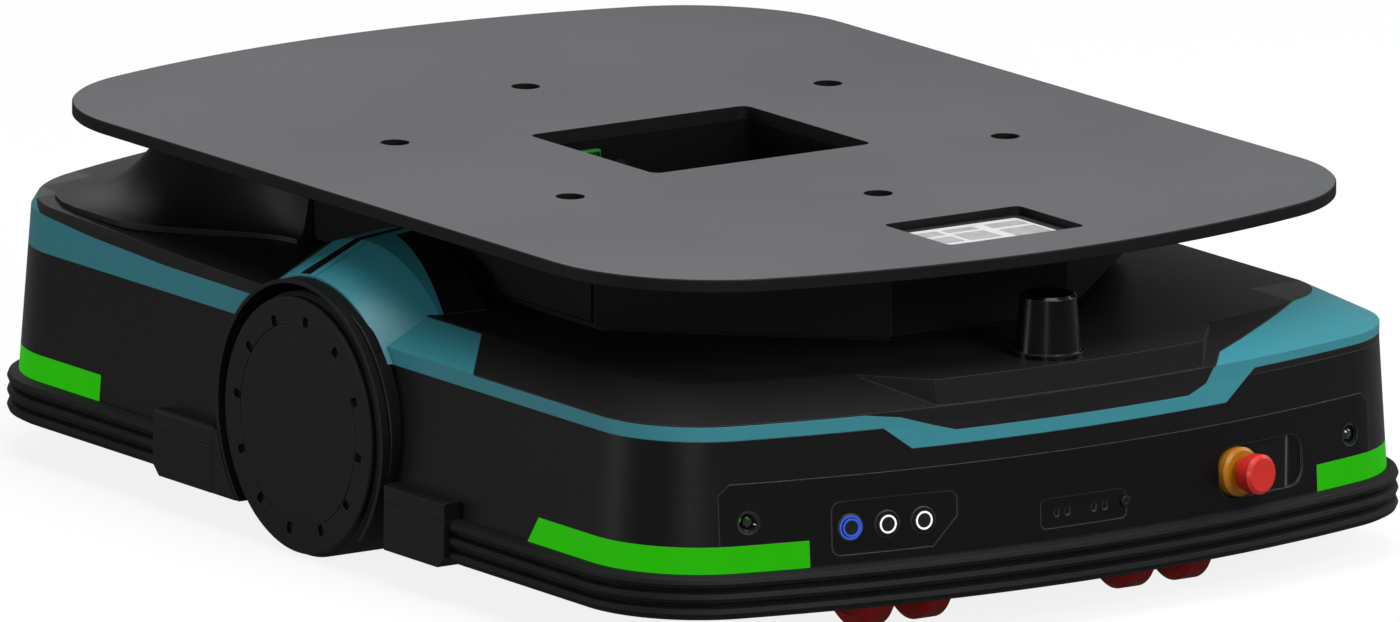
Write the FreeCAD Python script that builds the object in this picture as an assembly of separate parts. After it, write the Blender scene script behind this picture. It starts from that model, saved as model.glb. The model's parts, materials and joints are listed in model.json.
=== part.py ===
import FreeCAD, Part
import math
import os

# Low autonomous mobile robot, millimetres. +Z is up, the origin is on the floor under the middle,
# the control panel faces -Y and the drive axle lies along X.

# Body shells
body_half_width = 345.0
body_half_length = 484.0
bow_radius = 1100.0          # plan radius of the front and rear faces
body_corner_radius = 85.0
bumper_bottom = 30.5
skirt_bottom = 64.0
skirt_top = 162.0
shoulder_bottom = 174.0
deck_height = 194.0
draft_slope = 0.07           # sideways growth of the skirt per mm downwards
skirt_wall = 5.0
lip_opening = 300.0          # half the width of the opening inside the skirt's lower lip
cover_wall = 4.0
inlay_depth = 2.0            # thickness of trims and light strips let into the shells
cover_seam = 1.5

# Deck outline inside the sloped shoulders
deck_half_width = 308.0
deck_setback = 42.0          # of the deck's front edge from the body's front
deck_bow_radius = 800.0
deck_corner_radius = 62.0
nose_half_width = 115.0      # flat front of the nose
nose_flare = 44.0            # how far each nose flank runs outwards
nose_depth = 52.0            # how far the nose stands in front of the set-back deck edge
nose_lap = 11.0              # of the nose's root over the deck edge
nose_run_out = 40.0          # of the nose's flanks past the front face
nose_root = 60.0

# Rear cover: fuller than the front one, its deck crowned across the robot
rear_rim_top = 191.0
rear_rim_inset = 2.0
rear_bevel_top = 205.0
rear_bevel_side = 13.0
rear_bevel_end = 6.0
crown_radius = 5000.0
crown_height = 200.0         # of the crown's top line over the axle
crown_rise = 0.021           # of the top line per mm rearwards
riser_crown_gap = 0.4

# Drive wheels
wheel_radius = 100.0
wheel_face = 365.0           # outer face of the cover disc
disc_thickness = 5.0
disc_radius = 97.0
disc_edge = 1.2
disc_line_radius = 76.0
disc_line_width = 1.2
tyre_width = 62.0
tyre_wall = 18.0
hub_wall = 8.0
shaft_radius = 12.5
shaft_length = 24.0
running_clearance = 0.05
running_gap = 0.3

# Wheel housings and fender towers
arch_gap = 7.0
collar_wall = 3.0
arch_clearance = 0.2
housing_back = 288.0         # inner wall of the wheel housing
tower_rim = 350.0            # where the tower meets the collar
tower_crease = 302.0
tower_inner = 262.0
tower_rim_radius = 112.0
tower_crease_radius = 133.0
tower_inner_radius = 137.0
collar_lap = 8.0             # of the fender caps over the collar

# Far planes of cutting solids, past every piece
far = 600.0
over = 400.0

# Trim
front_corner_depth = 139.0   # from the body's front to where the side trims and lights begin
rear_corner_depth = 59.0
trim_sky = 300.0             # top of the trims' space, over the deck
trim_shoulder = 15.0         # the broad trim widens over this length
ledge_run = 45.0
band_top = 180.0             # broad side band
stripe_top = 173.0           # narrow side stripe
apron_bottom = 145.0         # the cover's lower edge dips to here under the nose
apron_half_width = 143.0
apron_slope = 23.0
ledge_top = 167.0            # the broad trim stands on a black ledge at the corner
nose_stripe_top = 155.5
narrow_cap_length = 46.0
wide_cap_reach = 104.0
cap_slope_start = 160.0
cap_slope_end = 202.0
cap_foot = 193.0             # height where the cap's slope leaves the deck's edge
trim_ledge_run = 1.4         # sideways run of the ledge per mm of its rise

# Bumper and sills
bumper_depth = 9.0
bumper_ridges = 3
beam_thickness = 8.0
sill_inner = 338.0
sill_bottom = 27.0
sill_top = 77.0
sill_length = 78.0
sill_gap = 4.0               # from the wheel housing opening to the sill
sill_groove_height = 63.5
sill_groove = 1.2

# Light strips
light_top = 84.0
light_side_length = 61.0     # from the trim corner to the strip's end on the side
light_face_end = 236.0
slanted_side_length = 51.0   # the strip of the other corner ends in a slant
slanted_face_end = 228.0
light_slant = 12.0

# Front panel and its controls
panel_half_width = 296.0
panel_top = 130.0
panel_corner = 8.0
panel_depth = 2.5
button_centre = -158.0
button_shift = -6.5          # from the plate's middle to the middle button
button_pitch = 29.5
button_height = 91.0
button_plate_width = 104.0
button_plate_height = 40.0
button_plate_corner = 7.0
button_plate_chamfer = 22.0
button_recess = 1.5
button_plate_thickness = 2.0
bezel_radius = 10.0
bezel_height = 1.6
cap_radius = 7.0
cap_height = 2.6
cap_gap = 0.3
button_travel = 1.5
stem_radius = 3.5
barrel_radius = 8.0
barrel_length = 22.0
port_centre = 4.0
port_height = 84.0
port_width = 78.0
port_plate_height = 22.0
port_corner = 5.0
port_slot_width = 4.0
port_slot_height = 6.0
lens_offset = 273.0
lens_height = 101.0
lens_radius = 8.5
lens_ball_radius = 6.0
stop_x = 152.0
stop_height = 92.0
stop_recess_width = 88.0
stop_recess_shift = 24.5     # from the stop to the middle of its recess
stop_recess_height = 39.0
stop_recess_flat = 6.0       # half the straight stretch at the recess's ends
stop_recess_depth = 3.6
stop_base_radius = 18.5
stop_base_height = 9.0
stop_collar_radius = 13.0
stop_collar_height = 6.0
stop_knob_radius = 15.0
stop_knob_height = 11.0
knob_edge = 2.5
stop_travel = 4.0
stop_stem_radius = 5.0
stop_barrel_radius = 12.0
stop_barrel_length = 24.0
panel_hole_clearance = 0.2    # round the barrels behind the panel
pocket_depth = 40.0          # past the shell's wall
pocket_front = 10.0

# Top plate, riser and what hangs from the plate
plate_top = 276.0
plate_thickness = 10.0
plate_half_width = 341.0
plate_half_length = 465.0
plate_bow_radius = 850.0
plate_corner_radius = 140.0
plate_edge_break = 0.8
hole_circle = 460.0
hole_count = 6
hole_radius = 11.0
well_width = 200.0
well_length = 166.0
well_corner = 8.0
well_wall = 3.0
well_flange = 12.0
well_floor_gap = 12.0        # from the deck to the underside of the well floor
window_width = 124.0
window_length = 86.0
window_centre = -365.0
window_corner = 6.0
tray_depth = 7.0
tray_wall = 3.0
tray_ledge = 2.0             # of the tray that shows inside the window
riser_half_width = 243.0
riser_half_length = 360.0
riser_chamfer_x = 163.0
riser_chamfer_y = 150.0
riser_wall = 4.0
riser_flange = 30.0
window_gap = 12.0            # between the riser and the tray under the window
riser_bottom = 200.0         # above a set-back plinth
plinth_inset = 12.0

# Tapered post on the nose deck
post_setback = 37.0          # from the nose's front to the post's axis
post_base_radius = 25.0
post_top_radius = 21.0
post_height = 46.0
post_foot_radius = 27.5
post_foot = 4.0
post_edge = 2.0

# Chassis
tray_bottom = 32.0
sheet = 6.0
chassis_half_width = 260.0
bridge_height = 92.0
chassis_end_gap = 44.0       # from the body's front to the chassis

# Castors
castor_x = 119.0
castor_setback = 90.0        # from the body's front to the swivel
castor_tray_gap = 88.0       # from the swivel to the end of the tray
castor_trail = 22.0
castor_wheel_radius = 32.0
castor_wheel_width = 25.0
castor_wheel_pitch = 52.0
castor_wheel_edge = 4.0
castor_dish_radius = 22.0
castor_dish_depth = 2.0
castor_axle_radius = 5.0
castor_plate = 70.0
castor_plate_thickness = 5.0
castor_race_radius = 24.0
castor_race_height = 10.0
castor_stem_radius = 8.0
fork_radius = 20.0
fork_web = 12.0

# Drive unit, battery and controller
gearbox_radius = 44.0
gearbox_length = 72.0
motor_radius = 38.0
motor_length = 105.0
bracket_width = 14.0
battery_length = 170.0
battery_width = 300.0
battery_height = 110.0
battery_end_gap = 101.0      # from the end of the tray to the battery's middle
controller_length = 140.0
controller_width = 260.0
controller_height = 70.0
controller_end_gap = 111.0

# Derived places
wheel_centre_height = wheel_radius
arch_radius = wheel_radius + arch_gap
collar_radius = arch_radius + collar_wall
plate_bottom = plate_top - plate_thickness
sill_start = collar_radius + sill_gap
deck_half_length = body_half_length - deck_setback
front_corner = body_half_length - front_corner_depth
rear_corner = body_half_length - rear_corner_depth
post_y = post_setback - body_half_length
chassis_half_length = body_half_length - chassis_end_gap
castor_y = body_half_length - castor_setback
tray_half_length = castor_y - castor_tray_gap
battery_y = battery_end_gap - tray_half_length
controller_y = tray_half_length - controller_end_gap


def vector(x, y, z):
    return FreeCAD.Vector(x, y, z)


def box(low_x, high_x, low_y, high_y, low_z, high_z):
    size = (high_x - low_x, high_y - low_y, high_z - low_z)
    return Part.makeBox(size[0], size[1], size[2], vector(low_x, low_y, low_z))


def rod(radius, length, start, direction):
    return Part.makeCylinder(radius, length, start, direction)


def join(shapes):
    result = shapes[0]
    for shape in shapes[1:]:
        result = result.fuse(shape)
    return result.removeSplitter()


def turned_half(shape):
    """The same piece for the other end of the robot."""
    other = shape.copy()
    other.rotate(vector(0, 0, 0), vector(0, 0, 1), 180)
    return other


def mirrored(shape):
    return shape.mirror(vector(0, 0, 0), vector(1, 0, 0))


def prism(points, direction):
    """A polygon, given as 3-D points, pushed along a direction."""
    wire = Part.makePolygon([vector(*point) for point in points + points[:1]])
    return Part.Face(wire).extrude(direction)


def side_prism(points, low_x, high_x):
    """A polygon of (y, z) points pushed along X."""
    return prism([(low_x, y, z) for y, z in points], vector(high_x - low_x, 0, 0))


def front_prism(points, low_y, high_y):
    """A polygon of (x, z) points pushed along Y."""
    return prism([(x, low_y, z) for x, z in points], vector(0, high_y - low_y, 0))


def plan_prism(points, low_z, high_z):
    """A polygon of (x, y) points pushed up."""
    return prism([(x, y, low_z) for x, y in points], vector(0, 0, high_z - low_z))


def spun(profile, y, height):
    """A closed profile of (x, radius) points turned about a line along X."""
    points = [vector(x, y, height + radius) for x, radius in profile]
    face = Part.Face(Part.makePolygon(points + points[:1]))
    return face.revolve(vector(0, y, height), vector(1, 0, 0), 360)


def rounded_box(width, length, low_z, high_z, corner, centre_y=0.0):
    block = box(-width / 2, width / 2, centre_y - length / 2, centre_y + length / 2, low_z, high_z)
    uprights = [edge for edge in block.Edges if abs(edge.tangentAt(edge.FirstParameter).z) > 0.9]
    return block.makeFillet(corner, uprights)


def bowed_outline(half_width, half_length, bow, corner, height):
    """A closed plan outline: straight sides, bowed ends and round corners, all tangent."""
    bow_centre = bow - half_length
    corner_x = half_width - corner
    corner_y = bow_centre - math.sqrt((bow - corner) ** 2 - corner_x ** 2)
    reach = bow / (bow - corner)
    end_x = corner_x * reach
    end_y = bow_centre + (corner_y - bow_centre) * reach
    turn = math.atan2(corner_y - bow_centre, corner_x) / 2
    middle_x = corner_x + corner * math.cos(turn)
    middle_y = corner_y + corner * math.sin(turn)

    def arc(first, middle, last):
        return Part.Arc(vector(*first, height), vector(*middle, height), vector(*last, height)).toShape()

    def line(first, last):
        return Part.makeLine(vector(*first, height), vector(*last, height))

    edges = [
        arc((-end_x, end_y), (0, -half_length), (end_x, end_y)),
        arc((end_x, end_y), (middle_x, middle_y), (half_width, corner_y)),
        line((half_width, corner_y), (half_width, -corner_y)),
        arc((half_width, -corner_y), (middle_x, -middle_y), (end_x, -end_y)),
        arc((end_x, -end_y), (0, half_length), (-end_x, -end_y)),
        arc((-end_x, -end_y), (-middle_x, -middle_y), (-half_width, -corner_y)),
        line((-half_width, -corner_y), (-half_width, corner_y)),
        arc((-half_width, corner_y), (-middle_x, middle_y), (-end_x, end_y)),
    ]
    return Part.Wire(edges)


def body_outline(height, inset):
    """The body's outline at a height below the cover joint, moved inwards by the inset."""
    move = inset - draft_slope * (skirt_top - min(height, skirt_top))
    return bowed_outline(body_half_width - move, body_half_length - move, bow_radius - move,
                         body_corner_radius - move, height)


def deck_outline(height, inset):
    return bowed_outline(deck_half_width - inset, deck_half_length - inset, deck_bow_radius - inset,
                         deck_corner_radius - inset, height)


def between(lower, upper):
    return Part.makeLoft([lower, upper], True, True)


def front_half(shape, gap):
    return shape.common(box(-far, far, -far, -gap / 2, 0, over))


def arch_cutter(radius, inner):
    """Both wheel openings, as rods along the axle from the inner wall outwards."""
    start = vector(inner, 0, wheel_centre_height)
    right = rod(radius, 200, start, vector(1, 0, 0))
    return right.fuse(mirrored(right))


def skirt_form(inset, low_z, high_z):
    return between(body_outline(low_z, inset), body_outline(high_z, inset))


def tower(inset):
    """The fender tower over the right wheel: a form turned about the axle."""
    profile = [
        (tower_inner + inset, 0),
        (tower_rim - inset, 0),
        (tower_rim - inset, tower_rim_radius - inset),
        (tower_crease, tower_crease_radius - inset),
        (tower_inner + inset, tower_inner_radius - inset),
    ]
    turned = spun(profile, 0, wheel_centre_height)
    return turned.common(box(0, far, -far, far, skirt_top - 2 * inset, over))


def nose(inset, low_z):
    edge_y = deck_half_length - nose_lap
    flank_slope = nose_flare / nose_depth
    front_y = edge_y + nose_depth
    reach = nose_run_out
    half = nose_half_width - inset
    points = [
        (-half - nose_flare, -edge_y + nose_root),
        (-half - nose_flare, -edge_y),
        (-half + reach * flank_slope, -front_y - reach),
        (half - reach * flank_slope, -front_y - reach),
        (half + nose_flare, -edge_y),
        (half + nose_flare, -edge_y + nose_root),
    ]
    plan = plan_prism(points, low_z, deck_height - inset)
    return plan.common(between(body_outline(low_z, inset), body_outline(deck_height, inset + 3)))


def apron_region(margin, low_z):
    """Where the front cover's lower edge dips below its joint with the skirt."""
    half = apron_half_width + margin
    return front_prism([
        (-half - apron_slope, skirt_top), (-half, low_z), (half, low_z), (half + apron_slope, skirt_top),
    ], -far, -deck_half_width)


def cover_form(inset):
    """The whole upper body as a solid, every face moved inwards by the inset."""
    low_z = skirt_top - 3 * inset
    rim = between(body_outline(low_z, inset), body_outline(shoulder_bottom - inset / 2, inset))
    shoulder_outline = body_outline(shoulder_bottom - inset / 2, inset)
    shoulder = between(shoulder_outline, deck_outline(deck_height - inset, inset))
    front_nose = nose(inset, low_z)
    apron_low = apron_bottom - 3 * inset
    apron = skirt_form(inset, apron_low, skirt_top).common(apron_region(3 * inset, apron_low))
    right_tower = tower(inset)
    return join([rim, shoulder, front_nose, turned_half(front_nose), apron, turned_half(apron),
                 right_tower, mirrored(right_tower)])


def trim_region():
    """The space that the teal trim of the front cover fills, the left wide cap included."""
    flank = apron_half_width + apron_slope
    ledge_start = flank + (ledge_top - skirt_top) * trim_ledge_run
    face = front_prism([
        (-over, skirt_top), (-flank, skirt_top), (-apron_half_width, apron_bottom),
        (apron_half_width, apron_bottom), (flank, skirt_top), (ledge_start, ledge_top), (over, ledge_top),
        (over, trim_sky), (264, trim_sky), (262, deck_height), (203, 187), (148, band_top), (131, stripe_top),
        (123, skirt_top), (106, nose_stripe_top), (-106, nose_stripe_top), (-126, skirt_top - 1),
        (-152, 169), (-181, stripe_top), (-over, stripe_top),
    ], -far, -front_corner)
    right_side = side_prism([
        (-front_corner, ledge_top), (-front_corner, trim_sky), (trim_shoulder - front_corner, band_top),
        (0, band_top), (0, skirt_top), (ledge_run - front_corner, skirt_top),
    ], deck_half_width + 2, over)
    return face.fuse(left_trim_side(front_corner)).fuse(left_cap_top()).fuse(right_side)


def left_trim_side(corner):
    """The narrow stripe along the left side with the cap's front slope, from a corner to the middle."""
    return side_prism([
        (-corner, skirt_top), (-corner, stripe_top), (-cap_slope_end, stripe_top),
        (-cap_slope_start, cap_foot), (-cap_slope_start, trim_sky), (0, trim_sky), (0, skirt_top),
    ], -over, -deck_half_width - 2)


def left_cap_top():
    """The wide cap's share of the left tower, down to the deck."""
    return box(-over, -tower_inner + 5, -wide_cap_reach, 0, deck_height + 0.2, over)


def crown_form(inset):
    """Everything under the crowned rear deck, in the front's place."""
    half = over
    start = 50.0
    top = crown_height - inset - crown_rise * start
    edge = top - crown_radius + math.sqrt(crown_radius ** 2 - half ** 2)
    arc = Part.Arc(vector(-half, start, edge), vector(0, start, top), vector(half, start, edge)).toShape()
    below = Part.makePolygon([
        vector(half, start, edge), vector(half, start, 0),
        vector(-half, start, 0), vector(-half, start, edge),
    ])
    section = Part.Face(Part.Wire([arc] + below.Edges))
    length = far + 2 * start
    return section.extrude(vector(0, -length, length * crown_rise))


def rear_cover_form(inset):
    """The rear upper body, in the front's place: full sides, a bevel and a crowned deck."""
    low_z = skirt_top - 3 * inset
    rim_top = rear_rim_top - inset / 2
    rim = between(body_outline(low_z, inset), body_outline(rim_top, inset + rear_rim_inset))
    side = inset + rear_bevel_side
    end = inset + rear_bevel_end
    top_outline = bowed_outline(body_half_width - side, body_half_length - end, bow_radius - end,
                                body_corner_radius - end, rear_bevel_top)
    bevel = between(body_outline(rim_top, inset + rear_rim_inset), top_outline)
    over = top_outline.copy()
    over.translate(vector(0, 0, 20))
    block = join([rim, bevel, between(top_outline, over)])
    apron_low = apron_bottom - 3 * inset
    apron = skirt_form(inset, apron_low, skirt_top).common(apron_region(3 * inset, apron_low))
    right_tower = tower(inset)
    deck = front_half(block, 0).common(crown_form(inset))
    return join([deck, apron, right_tower, mirrored(right_tower)])


def rear_trim_region():
    """The space of the rear cover's teal trim, in the front's place."""
    flank = apron_half_width + apron_slope
    face = front_prism([
        (-over, skirt_top), (-flank, skirt_top), (-apron_half_width, apron_bottom),
        (apron_half_width, apron_bottom), (flank, skirt_top), (over, skirt_top),
        (over, trim_sky), (300, trim_sky), (262, 197), (203, 187), (148, band_top), (131, stripe_top),
        (123, skirt_top), (106, nose_stripe_top), (-106, nose_stripe_top), (-126, skirt_top - 1),
        (-152, 169), (-181, stripe_top), (-over, stripe_top),
    ], -far, -rear_corner)
    right_side = side_prism([
        (-rear_corner, skirt_top), (-rear_corner, trim_sky), (25 - rear_corner, 196), (44 - rear_corner, 191),
        (114 - rear_corner, 185.5), (218 - rear_corner, 181.4), (0, band_top), (0, skirt_top),
    ], deck_half_width + 2, over)
    return face.fuse(left_trim_side(rear_corner)).fuse(left_cap_top()).fuse(right_side)


def narrow_cap_region():
    """The narrow teal cap on the right fender tower of the front cover."""
    low = wheel_centre_height + collar_radius - collar_lap
    return box(tower_inner - 5, over, -narrow_cap_length, 0, low, over)


def inlaid_cover(form, region):
    """One half shell from its solid form, its teal trim and its narrow fender cap."""
    arches = arch_cutter(collar_radius + arch_clearance, housing_back)
    half = front_half(form(0), cover_seam).cut(arches)
    skin = half.cut(form(inlay_depth))
    trim = skin.common(region)
    cap = skin.common(narrow_cap_region())
    cover = half.cut(form(cover_wall)).cut(trim).cut(cap)
    return cover, trim, cap


def covers():
    front = inlaid_cover(cover_form, trim_region())
    rear = inlaid_cover(rear_cover_form, rear_trim_region())
    return {
        "front_cover": front[0],
        "rear_cover": turned_half(rear[0]),
        "front_trim": front[1],
        "rear_trim": turned_half(rear[1]),
        "right_fender_cap": front[2],
        "left_fender_cap": turned_half(rear[2]),
    }


def face_place(x, height):
    """The frame of a control on the bowed, sloping front face: its -Y axis points straight out."""
    grown = draft_slope * (skirt_top - height)
    turn = math.degrees(math.asin(x / bow_radius))
    lean = math.degrees(math.atan(draft_slope))
    arc_centre = bow_radius - body_half_length
    start = FreeCAD.Placement(vector(0, -bow_radius - grown, 0), FreeCAD.Rotation(vector(1, 0, 0), -lean))
    swing = FreeCAD.Placement(vector(0, arc_centre, height), FreeCAD.Rotation(vector(0, 0, 1), turn))
    return swing.multiply(start)


def on_face(shape, x, height):
    placed = shape.copy()
    placed.Placement = face_place(x, height).multiply(shape.Placement)
    return placed


def face_rod(radius, out_start, out_end, centre=0.0):
    """A rod square to the face, between two distances out from it."""
    return rod(radius, out_end - out_start, vector(centre, -out_start, 0), vector(0, -1, 0))


def face_slab(width, height, out_start, out_end, corner):
    """A rounded slab lying in the face."""
    block = box(-width / 2, width / 2, -out_end, -out_start, -height / 2, height / 2)
    uprights = [edge for edge in block.Edges if abs(edge.tangentAt(edge.FirstParameter).y) > 0.9]
    return block.makeFillet(corner, uprights)


def button_slab(grow, out_start, out_end):
    """The button plate's outline, with its lower right corner cut off at a slant."""
    slab = face_slab(button_plate_width + 2 * grow, button_plate_height + 2 * grow, out_start, out_end,
                     button_plate_corner)
    right = button_plate_width / 2 + grow
    low = -button_plate_height / 2 - grow
    cut = button_plate_chamfer
    corner = front_prism([
        (right + 1, low - 1), (right + 1, low + cut), (right - cut, low - 1),
    ], -pocket_depth, pocket_depth)
    return slab.cut(corner)


def button_places():
    return [button_centre + button_shift + button_pitch * step for step in (-1, 0, 1)]


def light_region(side):
    """Where one front corner's light strip lies; side is -1 on the left and 1 on the right."""
    slant = light_slant if side < 0 else 0.0
    side_end = front_corner - (slanted_side_length if side < 0 else light_side_length)
    face_end = slanted_face_end if side < 0 else light_face_end
    strip = front_prism([
        (side * face_end, skirt_bottom), (side * over, skirt_bottom),
        (side * over, light_top), (side * face_end, light_top),
    ], -far, -front_corner)
    along = side_prism([
        (-front_corner, skirt_bottom), (slant - side_end, skirt_bottom), (-side_end, light_top),
        (-front_corner, light_top),
    ], min(side * deck_half_width, side * over), max(side * deck_half_width, side * over))
    return strip.fuse(along)


def skirts():
    outer = skirt_form(0, skirt_bottom, skirt_top)
    arches = arch_cutter(collar_radius + arch_clearance, housing_back)
    half = front_half(outer, cover_seam).cut(arches)
    half = half.cut(apron_region(0, apron_bottom))
    skin = half.cut(skirt_form(inlay_depth, skirt_bottom - 5, skirt_top + 5))
    lights = {side: skin.common(light_region(side)) for side in (-1, 1)}
    shell = half.cut(skirt_form(skirt_wall, skirt_bottom - 5, skirt_top + 5))
    lip_form = skirt_form(skirt_wall - 1, skirt_bottom, skirt_bottom + skirt_wall)
    lip = front_half(lip_form, cover_seam).cut(arches)
    chassis_space = box(-chassis_half_width, chassis_half_width, -chassis_half_length, 0, 0, over)
    side_space = box(-lip_opening, lip_opening, -chassis_half_length + 30, 0, 0, over)
    shell = shell.fuse(lip.cut(chassis_space).cut(side_space)).removeSplitter()
    for light in lights.values():
        shell = shell.cut(light)
    panel_skin = half.cut(skirt_form(panel_depth, skirt_bottom - 5, skirt_top + 5))
    low_corner = panel_top - panel_corner
    panel = panel_skin.common(front_prism([
        (-panel_half_width, skirt_bottom), (panel_half_width, skirt_bottom), (panel_half_width, low_corner),
        (panel_half_width - panel_corner, panel_top), (panel_corner - panel_half_width, panel_top),
        (-panel_half_width, low_corner),
    ], -far, 0))
    for light in lights.values():
        panel = panel.cut(light)
    rear_shell = turned_half(shell)
    front_shell = shell.cut(panel)
    seat_floor = -button_recess - button_plate_thickness
    plate_seat = on_face(button_slab(0, seat_floor, pocket_front), button_centre, button_height)
    port_seat = face_slab(port_width, port_plate_height, seat_floor, pocket_front, port_corner)
    port_seat = on_face(port_seat, port_centre, port_height)
    recess_corner = stop_recess_height / 2 - stop_recess_flat
    recess = face_slab(stop_recess_width, stop_recess_height, -stop_recess_depth, pocket_front, recess_corner)
    recess.translate(vector(stop_recess_shift, 0, 0))
    stop_seat = on_face(recess, stop_x, stop_height)
    pockets = [plate_seat, port_seat, stop_seat]
    lens_hole = face_rod(lens_radius, -pocket_depth / 2, pocket_depth / 2)
    pockets += [on_face(lens_hole, side * lens_offset, lens_height) for side in (-1, 1)]
    button_hole = face_rod(barrel_radius + panel_hole_clearance, -pocket_depth, 0)
    pockets += [on_face(button_hole, x, button_height) for x in button_places()]
    stop_hole = face_rod(stop_barrel_radius + panel_hole_clearance, -pocket_depth, 0)
    pockets.append(on_face(stop_hole, stop_x, stop_height))
    for pocket in pockets:
        panel = panel.cut(pocket)
        front_shell = front_shell.cut(pocket)
    return {
        "front_skirt": front_shell,
        "rear_skirt": rear_shell,
        "front_panel": panel,
        "front_left_light": lights[-1],
        "front_right_light": lights[1],
        "rear_right_light": turned_half(lights[-1]),
        "rear_left_light": turned_half(lights[1]),
    }


def button_set():
    """The recessed button plate with its bezels and barrels, and the three sprung buttons."""
    floor_out = -button_recess - button_plate_thickness
    plate = on_face(button_slab(-0.2, floor_out, -button_recess), button_centre, button_height)
    nodes = {}
    names = ["left_button", "middle_button", "right_button"]
    for name, x in zip(names, button_places()):
        bezel = face_rod(bezel_radius, -button_recess, -button_recess + bezel_height)
        barrel = face_rod(barrel_radius, -barrel_length, -button_recess)
        plate = plate.fuse(on_face(bezel.fuse(barrel), x, button_height))
        bore = face_rod(cap_radius + cap_gap, -button_recess - button_travel - 1, pocket_front)
        stem_bore = face_rod(stem_radius + running_gap, -barrel_length - 5, 0)
        plate = plate.cut(on_face(bore.fuse(stem_bore), x, button_height))
        cap = face_rod(cap_radius, -button_recess - 1 + running_gap, -button_recess + cap_height)
        stem = face_rod(stem_radius, -barrel_length + 2, 0)
        nodes[name] = on_face(cap.fuse(stem), x, button_height)
    nodes["button_plate"] = plate.removeSplitter()
    return nodes


def port_plate():
    floor_out = -button_recess - button_plate_thickness
    plate = face_slab(port_width - 0.4, port_plate_height - 0.4, floor_out, -button_recess, port_corner)
    for place in (-24, -14, 10, 20):
        slot = face_slab(port_slot_width, port_slot_height, floor_out + 0.8, 5, 1.2)
        slot.translate(vector(place, 0, 0))
        plate = plate.cut(slot)
    return on_face(plate, port_centre, port_height)


def lenses():
    """Two ball lenses, each in a deep round cup with a stepped rim."""
    cup = face_rod(lens_radius - 0.1, -9, -1.2)
    cup = cup.cut(face_rod(lens_radius - 1.6, -5, 0))
    ball = Part.makeSphere(lens_ball_radius, vector(0, 6.5, 0))
    ball = ball.common(box(-20, 20, 1.0, 5.2, -20, 20))
    lens = cup.fuse(ball)
    return Part.makeCompound([on_face(lens, side * lens_offset, lens_height) for side in (-1, 1)])


def emergency_stop():
    seat = -stop_recess_depth
    top = seat + stop_base_height
    base = face_rod(stop_base_radius, seat, top - 2)
    bevel_start = vector(0, -top + 2, 0)
    cone = Part.makeCone(stop_base_radius, stop_base_radius - 2.5, 2, bevel_start, vector(0, -1, 0))
    base = base.fuse(cone).fuse(face_rod(stop_barrel_radius, seat - stop_barrel_length, seat))
    base = base.cut(face_rod(stop_stem_radius + running_gap, seat - 30, top + 5))
    collar_start = top + stop_travel + running_gap
    collar = face_rod(stop_collar_radius, collar_start, collar_start + stop_collar_height)
    collar = collar.fuse(face_rod(stop_stem_radius, seat - 20, collar_start))
    pin_radius = stop_stem_radius - 1.5
    knob_start = collar_start + stop_collar_height + running_gap
    knob_end = knob_start + stop_knob_height
    collar = collar.fuse(face_rod(pin_radius, collar_start, knob_start + 7))
    knob = face_rod(stop_knob_radius, knob_start, knob_end)
    rims = [edge for edge in knob.Edges if abs(edge.CenterOfMass.y + knob_end) < 0.01]
    knob = knob.makeChamfer(knob_edge, rims[:1])
    knob = knob.cut(face_rod(pin_radius + running_clearance, knob_start - 1, knob_start + 7.4))
    return {
        "stop_base": on_face(base, stop_x, stop_height),
        "stop_collar": on_face(collar.removeSplitter(), stop_x, stop_height),
        "stop_knob": on_face(knob, stop_x, stop_height),
    }


def bumper():
    """The rubber bumper of one end: half-round ridges stacked on a flat back."""
    ridge_height = (skirt_bottom - bumper_bottom) / bumper_ridges
    rubber = None
    for step in range(bumper_ridges):
        low = bumper_bottom + step * ridge_height
        depths = [(0.0, 0.35), (0.22, 0.86), (0.5, 1.0), (0.78, 0.86), (1.0, 0.35)]
        for (low_share, low_depth), (high_share, high_depth) in zip(depths, depths[1:]):
            lower = bumper_outline(low + low_share * ridge_height, low_depth * bumper_depth)
            upper = bumper_outline(low + high_share * ridge_height, high_depth * bumper_depth)
            layer = between(lower, upper)
            rubber = layer if rubber is None else rubber.fuse(layer)
    inner = between(bumper_outline(bumper_bottom - 1, 0), bumper_outline(skirt_bottom + 1, 0))
    ring = rubber.cut(inner)
    return ring.common(box(-far, far, -far, -sill_start - sill_length, 0, over)).removeSplitter()


def bumper_outline(height, outset):
    grown = draft_slope * (skirt_top - skirt_bottom) + outset
    return bowed_outline(body_half_width + grown, body_half_length + grown, bow_radius + grown,
                         body_corner_radius + grown, height)


def bumper_beam():
    """The aluminium beam behind the rubber, one end of the robot."""
    outer = between(bumper_outline(bumper_bottom + 1, 0), bumper_outline(skirt_bottom, 0))
    inner = between(bumper_outline(bumper_bottom - 1, -beam_thickness),
                    bumper_outline(skirt_bottom + 1, -beam_thickness))
    return outer.cut(inner).common(box(-far, far, -far, -sill_start, 0, over))


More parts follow.
